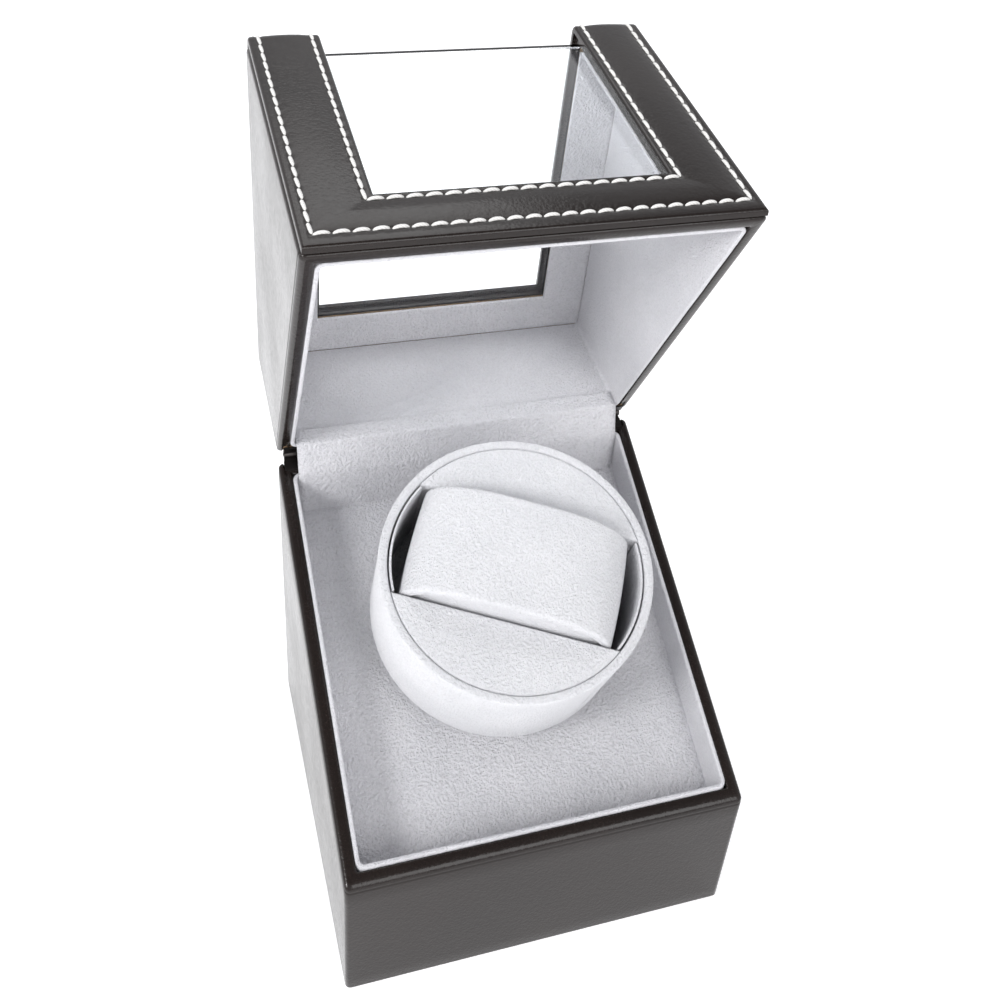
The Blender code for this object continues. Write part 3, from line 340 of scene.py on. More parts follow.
def suede_finish(name, base, pebble=1.0, streak=0.0, shade=1.0):
    """Velour: a fuzzy nap of fine fibres over soft pebbles, brushed lighter and darker in patches, with
    painted shade darkening the pits between the pebbles.
    """
    g = Graph(name)
    at = g.place()
    combed = g.place((1.0, 0.32, 1.0), (0.0, 0.0, 0.35))
    patches = g.noise(at, 42.0, 4.0, 0.6)
    pebbles = g.noise(at, 1150.0, 3.0, 0.6)
    fibres = g.noise(combed, 2800.0, 3.0, 0.7)
    brushed = g.spread(patches, 0.32, 0.68)
    # shade scales the whole suede colour; a value below 1 is painted shade.
    napped = g.blend(brushed, tint(base, 0.93 * shade, -0.004), tint(base, 1.03 * shade, 0.002))
    fuzzy = g.blend(g.spread(fibres, 0.35, 0.70, 0.0, 0.45), napped, tint(base, 0.80 * shade))
    # Painted shade: the low pits of the pebble noise are painted darker, by up to 0.3 times pebble, towards
    # 0.6 of the base colour.
    pits_painted_darker = g.blend(g.spread(pebbles, 0.36, 0.50, 0.30 * pebble, 0.0), fuzzy, tint(base, 0.60 * shade))
    height = pebbles * (1.3 + 0.9 * pebble) + fibres * (0.45 + streak)
    return g.finish(Base_Color=pits_painted_darker, Roughness=g.spread(fibres, 0.3, 0.7, 0.86, 0.98),
                    Normal=g.bump(height, 1.0, 0.00058), Sheen_Weight=0.15, Sheen_Roughness=0.45,
                    Sheen_Tint=WHITE, Specular_IOR_Level=0.2)


def thread_finish():
    """Twisted cotton thread: strands slanting across, a little fuzz."""
    g = Graph("stitching_thread")
    at = g.place()
    base = colours().thread
    strands = g.add("ShaderNodeTexWave", {"bands_direction": "DIAGONAL"},
                    {"Vector": at, "Scale": 620.0, "Distortion": 0.6, "Detail": 1.0}, "Fac")
    fuzz = g.noise(at, 3200.0, 2.0)
    shade = g.blend(strands, tint(base, 0.82), tint(base, 1.06))
    return g.finish(Base_Color=g.blend(g.spread(fuzz, 0.4, 0.7, 0.0, 0.2), shade, tint(base, 0.7)),
                    Roughness=g.spread(fuzz, 0.3, 0.7, 0.62, 0.8),
                    Normal=g.bump(strands * 0.7 + fuzz * 0.4, 0.5, 0.00012), Sheen_Weight=0.2)


def floor_finish():
    """Pale studio floor with a faint grain, lit from below so that it stays white."""
    g = Graph("pale_floor")
    grain = g.noise(g.place(), 6.0, 3.0)
    shade = g.blend(g.spread(grain, 0.3, 0.7), (0.86, 0.86, 0.87, 1.0), (0.90, 0.90, 0.91, 1.0))
    return g.finish(Base_Color=shade, Roughness=g.spread(grain, 0.3, 0.7, 0.6, 0.7),
                    Emission_Color=WHITE, Emission_Strength=0.44)


def studio_sky():
    """Surroundings that fade from bright at the horizon to dimmer overhead."""
    g = Graph("studio", bpy.data.worlds.new("studio"))
    way = g.add("ShaderNodeTexCoord", output="Generated")
    height = g.add("ShaderNodeSeparateXYZ", None, {"Vector": way}, "Z")
    horizon, overhead = (tint(SKY_TONE, strength) for strength in (0.90, 0.24))
    glow = g.blend(g.spread(height, 0.52, 0.93), horizon, overhead)
    return g.end(g.add("ShaderNodeBackground", None, {"Color": glow}), "ShaderNodeOutputWorld")


def acrylic_finish():
    """Clear polished sheet with a trace of haze, which lets lamps light what is behind it."""
    g = Graph("clear_acrylic")
    haze = g.noise(g.place(), 24.0, 3.0)
    pane = g.add("ShaderNodeBsdfPrincipled", None,
                 {"Base Color": (0.97, 0.985, 0.99, 1.0), "Transmission Weight": 1.0, "IOR": 1.49,
                  "Roughness": g.spread(haze, 0.4, 0.8, 0.004, 0.03)})
    clear = g.add("ShaderNodeBsdfTransparent", None, {"Color": (0.96, 0.97, 0.98, 1.0)})
    lamp = g.add("ShaderNodeLightPath", output="Is Shadow Ray")
    return g.end(g.add("ShaderNodeMixShader", None, {0: lamp, 1: pane, 2: clear}))


def grained_finish(name, base, scale, contrast, roughness, relief, metallic=0.0, brushed=False):
    """Moulded or machined surface: noise of one scale in colour, gloss and relief.

    A brushed surface has its noise drawn out along X.
    """
    g = Graph(name)
    at = g.place((0.1, 1, 1) if brushed else (1, 1, 1))
    grain = g.noise(at, scale, 4.0, 0.6)
    fine = g.noise(at, scale * 6, 2.0)
    body = g.blend(g.spread(grain, 0.3, 0.7), tint(base, 1 - contrast), tint(base, 1 + contrast))
    low, high = roughness
    return g.finish(Base_Color=body, Roughness=g.spread(fine + grain, 0.7, 1.3, low, high),
                    Metallic=metallic, Normal=g.bump(grain * 0.6 + fine * 0.4, 0.4, relief))


def moulded(slot):
    """Finish of a moulded or machined slot, or None for the others."""
    chosen = colours()
    recipes = {
        "fibreboard": ("fibreboard", chosen.board, 900.0, 0.25, (0.8, 0.95), 0.0001),
        "felt": ("black_felt", (0.016, 0.016, 0.017), 1600.0, 0.5, (0.9, 1.0), 0.0003),
        "black_plastic": ("black_plastic", (0.02, 0.02, 0.022), 1400.0, 0.15, (0.38, 0.5), 0.00004),
        "nylon": ("natural_nylon", chosen.nylon, 300.0, 0.05, (0.4, 0.52), 0.00003),
        "steel": ("plated_steel", chosen.steel, 700.0, 0.08, (0.2, 0.34), 0.00001, 1.0, True),
        "hinge_steel": ("blacked_steel", (0.05, 0.046, 0.044), 700.0, 0.2, (0.28, 0.42), 0.00001, 1.0, True),
        "brass": ("turned_brass", chosen.brass, 900.0, 0.08, (0.22, 0.36), 0.00001, 1.0),
        "rubber": ("belt_rubber", (0.013, 0.013, 0.013), 1200.0, 0.2, (0.7, 0.85), 0.00003),
        "circuit_board": ("circuit_board", chosen.circuit, 420.0, 0.3, (0.35, 0.5), 0.00004),
        "core_foam": ("core_foam", (0.55, 0.55, 0.57), 1100.0, 0.2, (0.9, 1.0), 0.0002),
    }
    return grained_finish(*recipes[slot]) if slot in recipes else None


def covered(slot):
    """Finish of a leather, suede, thread or clear slot."""
    chosen = colours()
    if slot.endswith("suede"):
        values = {"suede": ("pale_suede", chosen.suede),
                  # The liners are the deck's velour, painted 2% darker (shade 0.98) as painted shade for
                  # their place down in the wells.
                  "liner_suede": ("liner_suede", chosen.suede, 0.45, 0.1, 0.98),
                  "drum_suede": ("drum_suede", chosen.drum_suede, 0.5, 0.3)}
        return suede_finish(*values[slot])
    return {"leather": leather_finish, "thread": thread_finish, "acrylic": acrylic_finish}[slot]()


FINISHES = {}


def finish(slot):
    """The material of a record slot, made once."""
    if slot not in FINISHES:
        FINISHES[slot] = moulded(slot) or covered(slot)
    return FINISHES[slot]


# Surfaces.

WELD = 1e-6


def mesh_of(name, points, cells, fill=False, outward=False, sharp=None):
    """Mesh of points and faces. Points that coincide are welded, and those without a face go.

    fill closes open ends, outward turns the faces of a closed shape out, and an edge bent by more
    degrees than sharp stays sharp.
    """
    mesh = bpy.data.meshes.new(name)
    mesh.from_pydata(points.reshape(-1, 3).tolist(), [], cells.tolist())
    shape = bmesh.new()
    shape.from_mesh(mesh)
    bmesh.ops.remove_doubles(shape, verts=shape.verts, dist=WELD)
    bmesh.ops.delete(shape, geom=[v for v in shape.verts if not v.link_faces], context="VERTS")
    if fill:
        bmesh.ops.holes_fill(shape, edges=[e for e in shape.edges if e.is_boundary], sides=0)
    if outward:
        bmesh.ops.recalc_face_normals(shape, faces=shape.faces)
    shape.to_mesh(mesh)
    shape.free()
    mesh.shade_smooth()
    if sharp is not None:
        mesh.set_sharp_from_angle(angle=math.radians(sharp))
    return mesh


def surface(name, points, closed_u=False, closed_v=False, keep=None, fill=False, outward=False):
    """Mesh over a grid of points, rows along u and columns along v, each cell one face.

    keep marks the cells that get a face.
    """
    rows, columns = points.shape[:2]
    u = np.arange(rows if closed_u else rows - 1)[:, None]
    v = np.arange(columns if closed_v else columns - 1)[None, :]
    ahead, beside = (u + 1) % rows, (v + 1) % columns
    cells = np.stack([u * columns + v, ahead * columns + v, ahead * columns + beside,
                      u * columns + beside], -1)
    cells = cells[keep] if keep is not None else cells.reshape(-1, 4)
    return mesh_of(name, points, cells, fill, outward, 50)


def fit(name, mesh, body, slot, material=None, replaced=()):
    """Put a piece in the scene: its finish, the body that it rides on and the nodes it stands for."""
    piece = bpy.data.objects.new(name, mesh)
    bpy.context.scene.collection.objects.link(piece)
    mesh.materials.clear()
    mesh.materials.append(finish(material or slot))
    if body is not None:
        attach(piece, body)
    if replaced:
        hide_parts(*replaced)
    return piece


def thicken(piece, thickness, edge=0.0, offset=-1.0, even=True):
    """Give a sheet its thickness, away from its faces, with soft edges where a radius is given."""
    wall = piece.modifiers.new("thickness", "SOLIDIFY")
    wall.thickness = thickness
    wall.offset = offset
    wall.use_even_offset = even
    if edge:
        bevel = piece.modifiers.new("soft_edge", "BEVEL")
        bevel.width = edge
        bevel.segments = 3
        bevel.limit_method = "ANGLE"
        bevel.angle_limit = math.radians(50)
        bevel.harden_normals = True
    return piece


def spaced(low, high, step):
    """Even stops from low to high, no further apart than a step."""
    return np.linspace(low, high, max(2, math.ceil(abs(high - low) / step) + 1))


def wander(along, across=0.0):
    """Smooth irregular wave between about -1 and 1: a sum of sines whose lengths share no factor."""
    return (np.sin(along * 211.0 + across * 97.0) + 0.6 * np.sin(along * 467.0 - across * 331.0 + 1.3)
            + 0.4 * np.sin(along * 983.0 + across * 577.0 + 2.1)) / 2


def ring(half_x, half_y, radius, stops_x, stops_y):
    """Loops round nested rounded rectangles, one for each column, as an array of X and Y.

    Sides take the given stops, drawn in to where the side is straight, and each corner is a quarter
    circle of the column's radius. The loop runs anticlockwise seen from above, starting at the front
    of the right side.
    """
    half_x, half_y, radius = np.broadcast_arrays(*(np.atleast_1d(v).astype(float) for v in
                                                   (half_x, half_y, radius)))
    turn = np.linspace(0, math.pi / 2, CORNER_STEPS + 1)[:, None]
    columns = np.ones_like(half_x)[None, :]
    parts = []
    sides = (((half_x, 0), (0, stops_y)), ((0, stops_x[::-1]), (half_y, 0)),
             ((-half_x, 0), (0, stops_y[::-1])), ((0, stops_x), (-half_y, 0)))
    corners = ((1, 1), (-1, 1), (-1, -1), (1, -1))
    for number, (x_rule, y_rule) in enumerate(sides):
        if number % 2 == 0:
            y = np.clip(y_rule[1][:, None] * columns, radius - half_y, half_y - radius)
            x = x_rule[0][None, :] * np.ones_like(y)
        else:
            x = np.clip(x_rule[1][:, None] * columns, radius - half_x, half_x - radius)
            y = y_rule[0][None, :] * np.ones_like(x)
        parts.append(np.stack([x, y], -1))
        sign_x, sign_y = corners[number]
        angle = turn + number * math.pi / 2
        x = sign_x * (half_x - radius)[None, :] + radius[None, :] * np.cos(angle)
        y = sign_y * (half_y - radius)[None, :] + radius[None, :] * np.sin(angle)
        parts.append(np.stack([x, y], -1))
    return np.concatenate(parts, 0)


def quarter(steps, start=0.0):
    """Cosines and sines of evenly spaced angles over a quarter circle."""
    angle = np.linspace(start, start + math.pi / 2, steps + 1)
    return np.cos(angle), np.sin(angle)


def walls(profile, stops_x, stops_y, bottom, top, corner=0.0):
    """A profile carried round the box.

    Each profile point is an inset from the outer face, a share of the way from the bottom to the top
    level, and a rise added to that. Levels are functions of depth, so a slanted rim stays flat.
    """
    inset, share, rise = (np.array(column) for column in zip(*profile))
    radius = np.maximum(sizes().edge_round + corner - inset * 0.25, 0.5 * MM)
    loop = ring(HALF_WIDTH - inset, HALF_DEPTH - inset, radius, stops_x, stops_y)
    y = loop[..., 1]
    z = (1 - share) * bottom(y) + share * top(y) + rise
    return np.concatenate([loop, z[..., None]], -1)


def wall_stops(*marks):
    """Stops along X and Y for the box's walls, with extra ones at the given half-widths in X."""
    corner, step = 8.2 * MM, 4 * MM
    reach_x, reach_y = HALF_WIDTH - corner, HALF_DEPTH - corner
    stops_x = np.union1d(spaced(-reach_x, reach_x, step), [s * m for m in marks for s in (-1, 1)])
    return stops_x, spaced(-reach_y, reach_y, step)


def window_cells(points, opening, stops, rows):
    """Which cells of a ring of walls get a face when the window opens some rows of the front wall."""
    count_x, count_y = (len(along) for along in stops)
    front = 2 * count_y + count_x + 3 * (CORNER_STEPS + 1)
    keep = np.ones((points.shape[0], points.shape[1] - 1), bool)
    x = points[front:front + count_x, 0, 0]
    inside = np.flatnonzero(np.abs((x[:-1] + x[1:]) / 2) < opening)
    keep[front + inside[0]:front + inside[-1] + 1, rows] = False
    return keep


# Leather.

CREASE = tuple((sunk * MM, away * MM) for sunk, away in
               ((0.05, 0.1), (0.38, 0.35), (0.38, 0.5), (0.06, 0.8), (0, 1.1)))
RIM_CROWN = ((2.0, 0.05), (2.5, 0.08), (3.0, 0.05))
HINGE_MARKS = (HINGE_HALF - 0.1 * MM, HINGE_HALF)


def base_wrap():
    """Leather round the base: under-edge, walls, rolled rim and a short return inside.

    The profile is a quarter circle at the foot, a straight wall, a narrow crease, a larger quarter
    circle at the rim, a slightly crowned rim and a small quarter circle into the return.
    """
    edge, foot, clear = sizes().edge_round, 0.5 * MM, 0.3 * MM
    low, high = clear + foot, -RIM_HALF_GAP - edge
    cos, sin = quarter(5, -math.pi / 2)
    profile = [(foot - foot * c, 0, low + foot * s) for c, s in zip(cos, sin)]
    wall_top = high - CREASE[-1][1]
    profile += [(0, share, (1 - share) * low + share * wall_top) for share in np.linspace(0.1, 1, 9)]
    profile += [(sunk, 1, high - below) for sunk, below in CREASE[::-1]]
    cos, sin = quarter(6)
    profile += [(edge - edge * c, 1, high + edge * s) for c, s in zip(cos, sin)][1:]
    profile += [(inset * MM, 1, rise * MM - RIM_HALF_GAP) for inset, rise in RIM_CROWN]
    cos, sin = quarter(4, math.pi / 2)
    profile += [(LINER_OUT - MOUTH - MOUTH * c, 1, MOUTH * s - MOUTH - RIM_HALF_GAP)
                for c, s in zip(cos, sin)]
    profile.append((LINER_OUT, 1, -RETURN_DEPTH))
    points = walls(profile, *wall_stops(*HINGE_MARKS), lambda y: 0 * y, split_z)
    mortise(points, np.array(profile), -HINGE_RECESS)
    return points


def mortise(points, profile, depth):
    """Sink the back rim where the hinge's leaf lies."""
    slack = 0.01 * MM
    on_rim = (profile[:, 1] == 1) & (profile[:, 0] > 0) if depth < 0 else profile[:, 1] == 0
    behind = points[..., 1] > HALF_DEPTH - LINER_OUT - slack
    sunk = on_rim[None, :] & behind & (np.abs(points[..., 0]) < HINGE_HALF + slack)
    points[..., 2] += np.where(sunk, depth, 0)


def lid_wrap():
    """Leather round the lid, shut: return, rolled rim, walls and a flange under the trim.

    Returns the points and which cells get a face: none where the window opens the front wall.
    """
    edge, crown = sizes().edge_round, 1.5 * MM
    profile = [(LINER_OUT, 0, RETURN_DEPTH)]
    cos, sin = quarter(4)
    profile += [(LINER_OUT - MOUTH + MOUTH * c, 0, MOUTH - MOUTH * s + RIM_HALF_GAP)
                for c, s in zip(cos, sin)]
    profile += [(inset * MM, 0, RIM_HALF_GAP - rise * MM) for inset, rise in RIM_CROWN[::-1]]
    cos, sin = quarter(6, -math.pi / 2)
    low, high = RIM_HALF_GAP + edge, -crown
    profile += [(edge - edge * c, 0, low + edge * s) for c, s in zip(cos, sin)][:-1]
    profile += [(sunk, 0, low + above) for sunk, above in CREASE]
    low += CREASE[-1][1] + 0.1 * MM
    floor, ceiling = split_z(-HALF_DEPTH) + low, HEIGHT + high
    sill = (WINDOW_SILL - REVEAL_STEP - floor) / (ceiling - floor)
    below = np.linspace(0, sill, 3)
    sill_row = len(profile) + len(below) - 1
    shares = np.concatenate([below, np.linspace(sill, 1, 10)[1:]])
    profile += [(0, share, (1 - share) * low + share * high) for share in shares]
    cos, sin = quarter(5)
    profile += [(crown - crown * c, 1, crown * s - crown) for c, s in zip(cos, sin)][1:]
    profile += [(4 * MM, 1, 0), (8 * MM, 1, 0)]
    opening = WINDOW_HALF + REVEAL_STEP
    stops = wall_stops(*HINGE_MARKS, opening)
    points = walls(profile, *stops, split_z, lambda y: HEIGHT + 0 * y)
    mortise(points, np.array(profile), HINGE_RECESS)
    return points, window_cells(points, opening, stops, slice(sill_row, None))


def fold(x, run, rise, radius):
    """Bend a flat sheet over the top front corner of the lid.

    run is the distance up the front and on over the top, and rise the height off the lid's faces. Up to
    the fold a point keeps its height, round the fold it turns about a line inside the corner, and past
    it the run goes on towards the back.
    """
    centre_y, centre_z = -HALF_DEPTH + radius, HEIGHT - radius
    bend = fold_length(radius)
    angle = np.clip((run - centre_z) / bend, 0, 1) * math.pi / 2
    reach = radius + rise
    y = centre_y - reach * np.cos(angle) + np.maximum(run - centre_z - bend, 0)
    z = centre_z + reach * np.sin(angle) - np.maximum(centre_z - run, 0)
    return np.stack([x + 0 * y, y, z], -1)


def fold_length(radius):
    """Length of the fold on the trim's outer face."""
    return (radius + TRIM_HIGH[2] - HEIGHT) * math.pi / 2


def run_at(y, radius):
    """Run of a point on the lid's top at a depth."""
    return HEIGHT - radius + fold_length(radius) + y + HALF_DEPTH - radius


class TrimPlan:
    """The trim laid flat: its outer edge, the window's edge and the two stitch lines."""

    def __init__(self):
        self.fold = sizes().trim_fold
        self.low, self.high = TRIM_LOW[2], run_at(TRIM_HIGH[1], self.fold)
        self.half = TRIM_HIGH[0]
        self.sill, self.back = WINDOW_SILL, run_at(WINDOW_BACK, self.fold)
        self.window = WINDOW_HALF
        self.top = TRIM_HIGH[2] - HEIGHT

    def frame_from_outside(self, side, lower, upper):
        """Half-width, lower and upper run of a rectangle inset from the outer edge."""
        return self.half - side, self.low + lower, self.high - upper

    def frame_from_window(self, away):
        """The same for a rectangle set out from the window."""
        return self.window + away, self.sill - away, self.back + away

    def seams(self):
        """The outer and the inner stitch line."""
        chosen = sizes()
        return (self.frame_from_outside(chosen.outer_seam, chosen.lower_seam, chosen.outer_seam),
                self.frame_from_window(chosen.inner_seam))


GROOVE = 0.20 * MM
STITCH_DIP = 0.14 * MM
STITCH_SHARE = 0.92


def trim_panel():
    """Padded leather trim: a frame-shaped cross-section carried round the window and folded over.

    The closed cross-section has rounded edges, a groove along each stitch line and a slight crown
    between them. The grooves deepen where the thread dips, once for each stitch.
    """
    plan = TrimPlan()
    top, foot, soft = plan.top, 0.3 * MM, 0.9 * MM
    swell, padding, groove_width = 0.10 * MM, 0.22 * MM, 0.55
    chosen = sizes()
    cos, sin = quarter(5)
    rows = [(plan.frame_from_outside(0, 0, 0), foot, 0, 0)]
    rows += [(plan.frame_from_outside(*[soft - soft * c] * 3), top - soft + soft * s, 0, 0)
             for c, s in zip(cos, sin)]
    for step in (-1.3, -0.8, -0.4, 0, 0.4, 0.8, 1.3):
        inset = [edge + step * MM for edge in (chosen.outer_seam, chosen.lower_seam, chosen.outer_seam)]
        dip = math.exp(-(step / groove_width) ** 2)
        rows.append((plan.frame_from_outside(*inset), top + swell * (abs(step) > 1), dip, 0))
    inner = plan.frame_from_window(chosen.inner_seam + 1.3 * MM)
    outer = rows[-1][0]
    for share in np.linspace(0, 1, 6)[1:-1]:
        between = tuple((1 - share) * a + share * b for a, b in zip(outer, inner))
        rows.append((between, top + swell + padding * math.sin(math.pi * share), 0, 0))
    for step in (1.3, 0.8, 0.4, 0, -0.4, -0.8):
        dip = math.exp(-(step / groove_width) ** 2)
        rows.append((plan.frame_from_window(chosen.inner_seam + step * MM), top, dip, 1))
    cos, sin = quarter(5, math.pi / 2)
    rows += [(plan.frame_from_window(soft + soft * c), top - soft + soft * s, 0, 0)
             for c, s in zip(cos, sin)]
    rows += [(plan.frame_from_window(0), foot, 0, 0)]
    half, low, high = (np.array([row[0][k] for row in rows]) for k in range(3))
    rise, dip, seam = (np.array([row[k] for row in rows]) for k in (1, 2, 3))
    sides = []
    for number in range(4):
        upright = number % 2 == 0
        fractions = np.linspace(0, 1, 260 if upright else 130)[:, None]
        travel = low + (high - low) * fractions if upright else half * (2 * fractions - 1)
        if number == 0:
            x, run = half + 0 * travel, travel
        elif number == 1:
            x, run = -travel, high + 0 * travel
        elif number == 2:
            x, run = -half + 0 * travel, high + low - travel
        else:
            x, run = travel, low + 0 * travel
        counts = np.array([stitch_count(line, upright) for line in plan.seams()])
        wave = np.cos(2 * math.pi * fractions * counts[seam.astype(int)])
        groove = dip * (GROOVE + STITCH_DIP * wave)
        sides.append(np.stack([x, run, rise - groove], -1)[:-1])
    flat = np.concatenate(sides, 0)
    return fold(flat[..., 0], flat[..., 1], flat[..., 2], plan.fold)


def stitch_count(line, upright):
    """How many stitches fit one side of a stitch line."""
    half, low, high = line
    return round(((high - low) if upright else 2 * half) / sizes().stitch_pitch)


def stitches():
    """Raised stitches along both lines of the trim.

    Each is a tube of round section whose thickness follows a flattened bell, slanting a little across
    its line, bowed up in the middle and diving into the leather at its ends.
    """
    plan = TrimPlan()
    radius = sizes().thread / 2
    along = np.sin(np.linspace(-1, 1, 9) * math.pi / 2)[:, None]
    around = np.linspace(0, 2 * math.pi, 9)[None, :-1]
    thick = radius * np.sqrt(np.maximum(1 - along ** 4, 0.0))
    middle = 1 - along ** 2
    slant, bow, sunk, arch, squash = 0.16 * MM, 0.10 * MM, 0.30 * MM, 0.46 * MM, 0.9
    across = slant * along + bow * middle + thick * np.cos(around)
    up = plan.top - sunk + arch * middle + squash * thick * np.sin(around)
    shapes = []
    for line in plan.seams():
        half, low, high = line
        for number in range(4):
            upright = number % 2 == 0
            count = stitch_count(line, upright)
            span = (high - low) if upright else 2 * half
            reach = span / count * STITCH_SHARE / 2
            start = (low if upright else -half) + span * (np.arange(count) + 0.5) / count
            place = start[:, None, None] + reach * along + 0 * across
            side = across + 0 * place
            height = up + 0 * place
            if upright:
                edge = half if number == 0 else -half
                shapes.append(fold(edge - side, place, height, plan.fold))
            else:
                edge = high if number == 1 else low
                shapes.append(fold(place, edge + side, height, plan.fold))
    points = np.concatenate(shapes, 0)
    count, rows, columns = points.shape[:3]
    start = (np.arange(count) * rows * columns)[:, None, None]
    u, v = np.arange(rows - 1)[None, :, None], np.arange(columns)[None, None, :]
    beside = (v + 1) % columns
    cells = np.stack([start + u * columns + v, start + (u + 1) * columns + v,
                      start + (u + 1) * columns + beside, start + u * columns + beside], -1)
    return mesh_of("trim_stitching", on_lid(points), cells.reshape(-1, 4), outward=True)


def window_return():
    """Leather turned in round the window, under the trim: a hook-shaped profile carried round it.

    The profile lies flat under the trim, rounds the opening's edge and goes down to the boards.
    """
    edge, under, leather = 0.6 * MM, 5 * MM, 0.75 * MM
    cos, sin = quarter(4)
    profile = [(under, 0.0), (under / 2, 0.0)]
    profile += [(edge - edge * s, edge * c - edge) for c, s in zip(cos, sin)]
    profile += [(0, -1.8 * MM), (0, -REVEAL), (leather, -REVEAL), (leather, -leather), (under, -leather)]
    away, rise = (np.array(column) for column in zip(*profile))
    half = WINDOW_HALF + REVEAL_STEP + away
    sill = WINDOW_SILL - REVEAL_STEP - away
    back = WINDOW_BACK + REVEAL_STEP + away
    corner_y, corner_z = -HALF_DEPTH - rise, HEIGHT + rise
    blank = 0 * rise

    def line(first, last, count):
        """Straight stretch between two rows of points."""
        share = np.linspace(0, 1, count)[:, None, None]
        return (1 - share) * np.stack(first, -1) + share * np.stack(last, -1)

    loop = [((s * half + blank), y, z) for s, y, z in
            ((1, corner_y, sill), (1, corner_y, corner_z), (1, back, corner_z),
             (-1, back, corner_z), (-1, corner_y, corner_z), (-1, corner_y, sill))]
    parts = [line(loop[k], loop[(k + 1) % len(loop)], 12)[:-1] for k in range(len(loop))]
    return np.concatenate(parts, 0)


class WINDER_OT_leather(bpy.types.Operator):
    """Leather wraps of the base and the lid, with the return into the window"""
    bl_idname = "winder.leather"
    bl_label = "Leather wraps"

    def execute(self, context):
        base = surface("base_leather", base_wrap(), closed_u=True)
        wrap = fit("base_leather", base, "base", "leather", replaced=["base_leather_wrap"])
        thicken(wrap, WRAP_THICK, even=False)
        points, keep = lid_wrap()
        lid = surface("lid_leather", on_lid(points), closed_u=True, keep=keep)
        wrap = fit("lid_leather", lid, "lid", "leather", replaced=["lid_leather_wrap"])
        thicken(wrap, WRAP_THICK, even=False)
        turned_in = surface("window_return", on_lid(window_return()), closed_u=True, closed_v=True,
                            outward=True)
        fit("window_return", turned_in, "lid", "leather")
        return {"FINISHED"}


class WINDER_OT_trim(bpy.types.Operator):
    """Padded trim round the window, with its two lines of stitching"""
    bl_idname = "winder.trim"
    bl_label = "Stitched trim"

    def execute(self, context):
        panel = surface("lid_trim", on_lid(trim_panel()), closed_u=True, closed_v=True, outward=True)
        fit("lid_trim", panel, "lid", "leather", replaced=["lid_trim_panel"])
        fit("trim_stitching", stitches(), "lid", "leather", "thread")
        return {"FINISHED"}


# Suede.

FUZZ = 0.07 * MM


def ragged(points, column):
    """Let one edge of a liner wander up and down, as cut velour does."""
    points[..., 2][:, column] += FUZZ * wander(points[..., 0] + points[..., 1], points[..., 1])[:, column]
    return points


def base_liner():
    """Liner round the base's well: a wall from the deck up to just past the leather rim."""
    profile = [(LINER_IN, share, 0.05 * MM) for share in np.linspace(1, 0, 9)]
    points = walls(profile, *wall_stops(), lambda y: split_z(y, 2 * LINER_LIP - DECK_DROP),
                   lambda y: split_z(y, -LINER_LIP), LINER_CORNER)
    return ragged(points, 0)


def lid_liner():
    """Liner round the lid's walls, shut, and which cells get a face round the window."""
    ceiling = HEIGHT - LINER_IN
    top, bottom = ceiling - 0.1 * MM, split_z(LINER_IN - HALF_DEPTH, LINER_LIP)
    sill = (WINDOW_SILL - LINER_SETBACK - bottom) / (top - bottom)
    above = np.linspace(1, sill, 9)
    shares = np.concatenate([above, np.linspace(sill, 0, 4)[1:]])
    profile = [(LINER_IN, share, 0.0) for share in shares]
    opening = WINDOW_HALF + LINER_SETBACK
    stops = wall_stops(opening)
    points = walls(profile, *stops, lambda y: split_z(y, LINER_LIP), lambda y: top + 0 * y, LINER_CORNER)
    keep = window_cells(points, opening, stops, slice(len(above) - 1))
    return ragged(points, -1), keep


def lid_ceiling():
    """Liner under the lid's top: a flat sheet with the window cut out of its front."""
    opening, back = WINDOW_HALF + LINER_SETBACK, WINDOW_BACK + LINER_SETBACK
    tuck, step = 0.25 * MM, 3 * MM
    reach_x, reach_y = HALF_WIDTH - LINER_IN + tuck, HALF_DEPTH - LINER_IN + tuck
    x = np.union1d(spaced(-reach_x, reach_x, step), [-opening, opening])
    y = np.union1d(spaced(-reach_y, reach_y, step), [back])
    grid_y, grid_x = np.meshgrid(y, x, indexing="ij")
    flat = np.stack([grid_x, grid_y, HEIGHT - LINER_IN + 0 * grid_x], -1)
    flat[..., 2] += 0.05 * MM * wander(grid_x, grid_y)
    middle_x, middle_y = (x[:-1] + x[1:]) / 2, (y[:-1] + y[1:]) / 2
    keep = (np.abs(middle_x)[None, :] > opening) | (middle_y[:, None] > back)
    return flat, keep


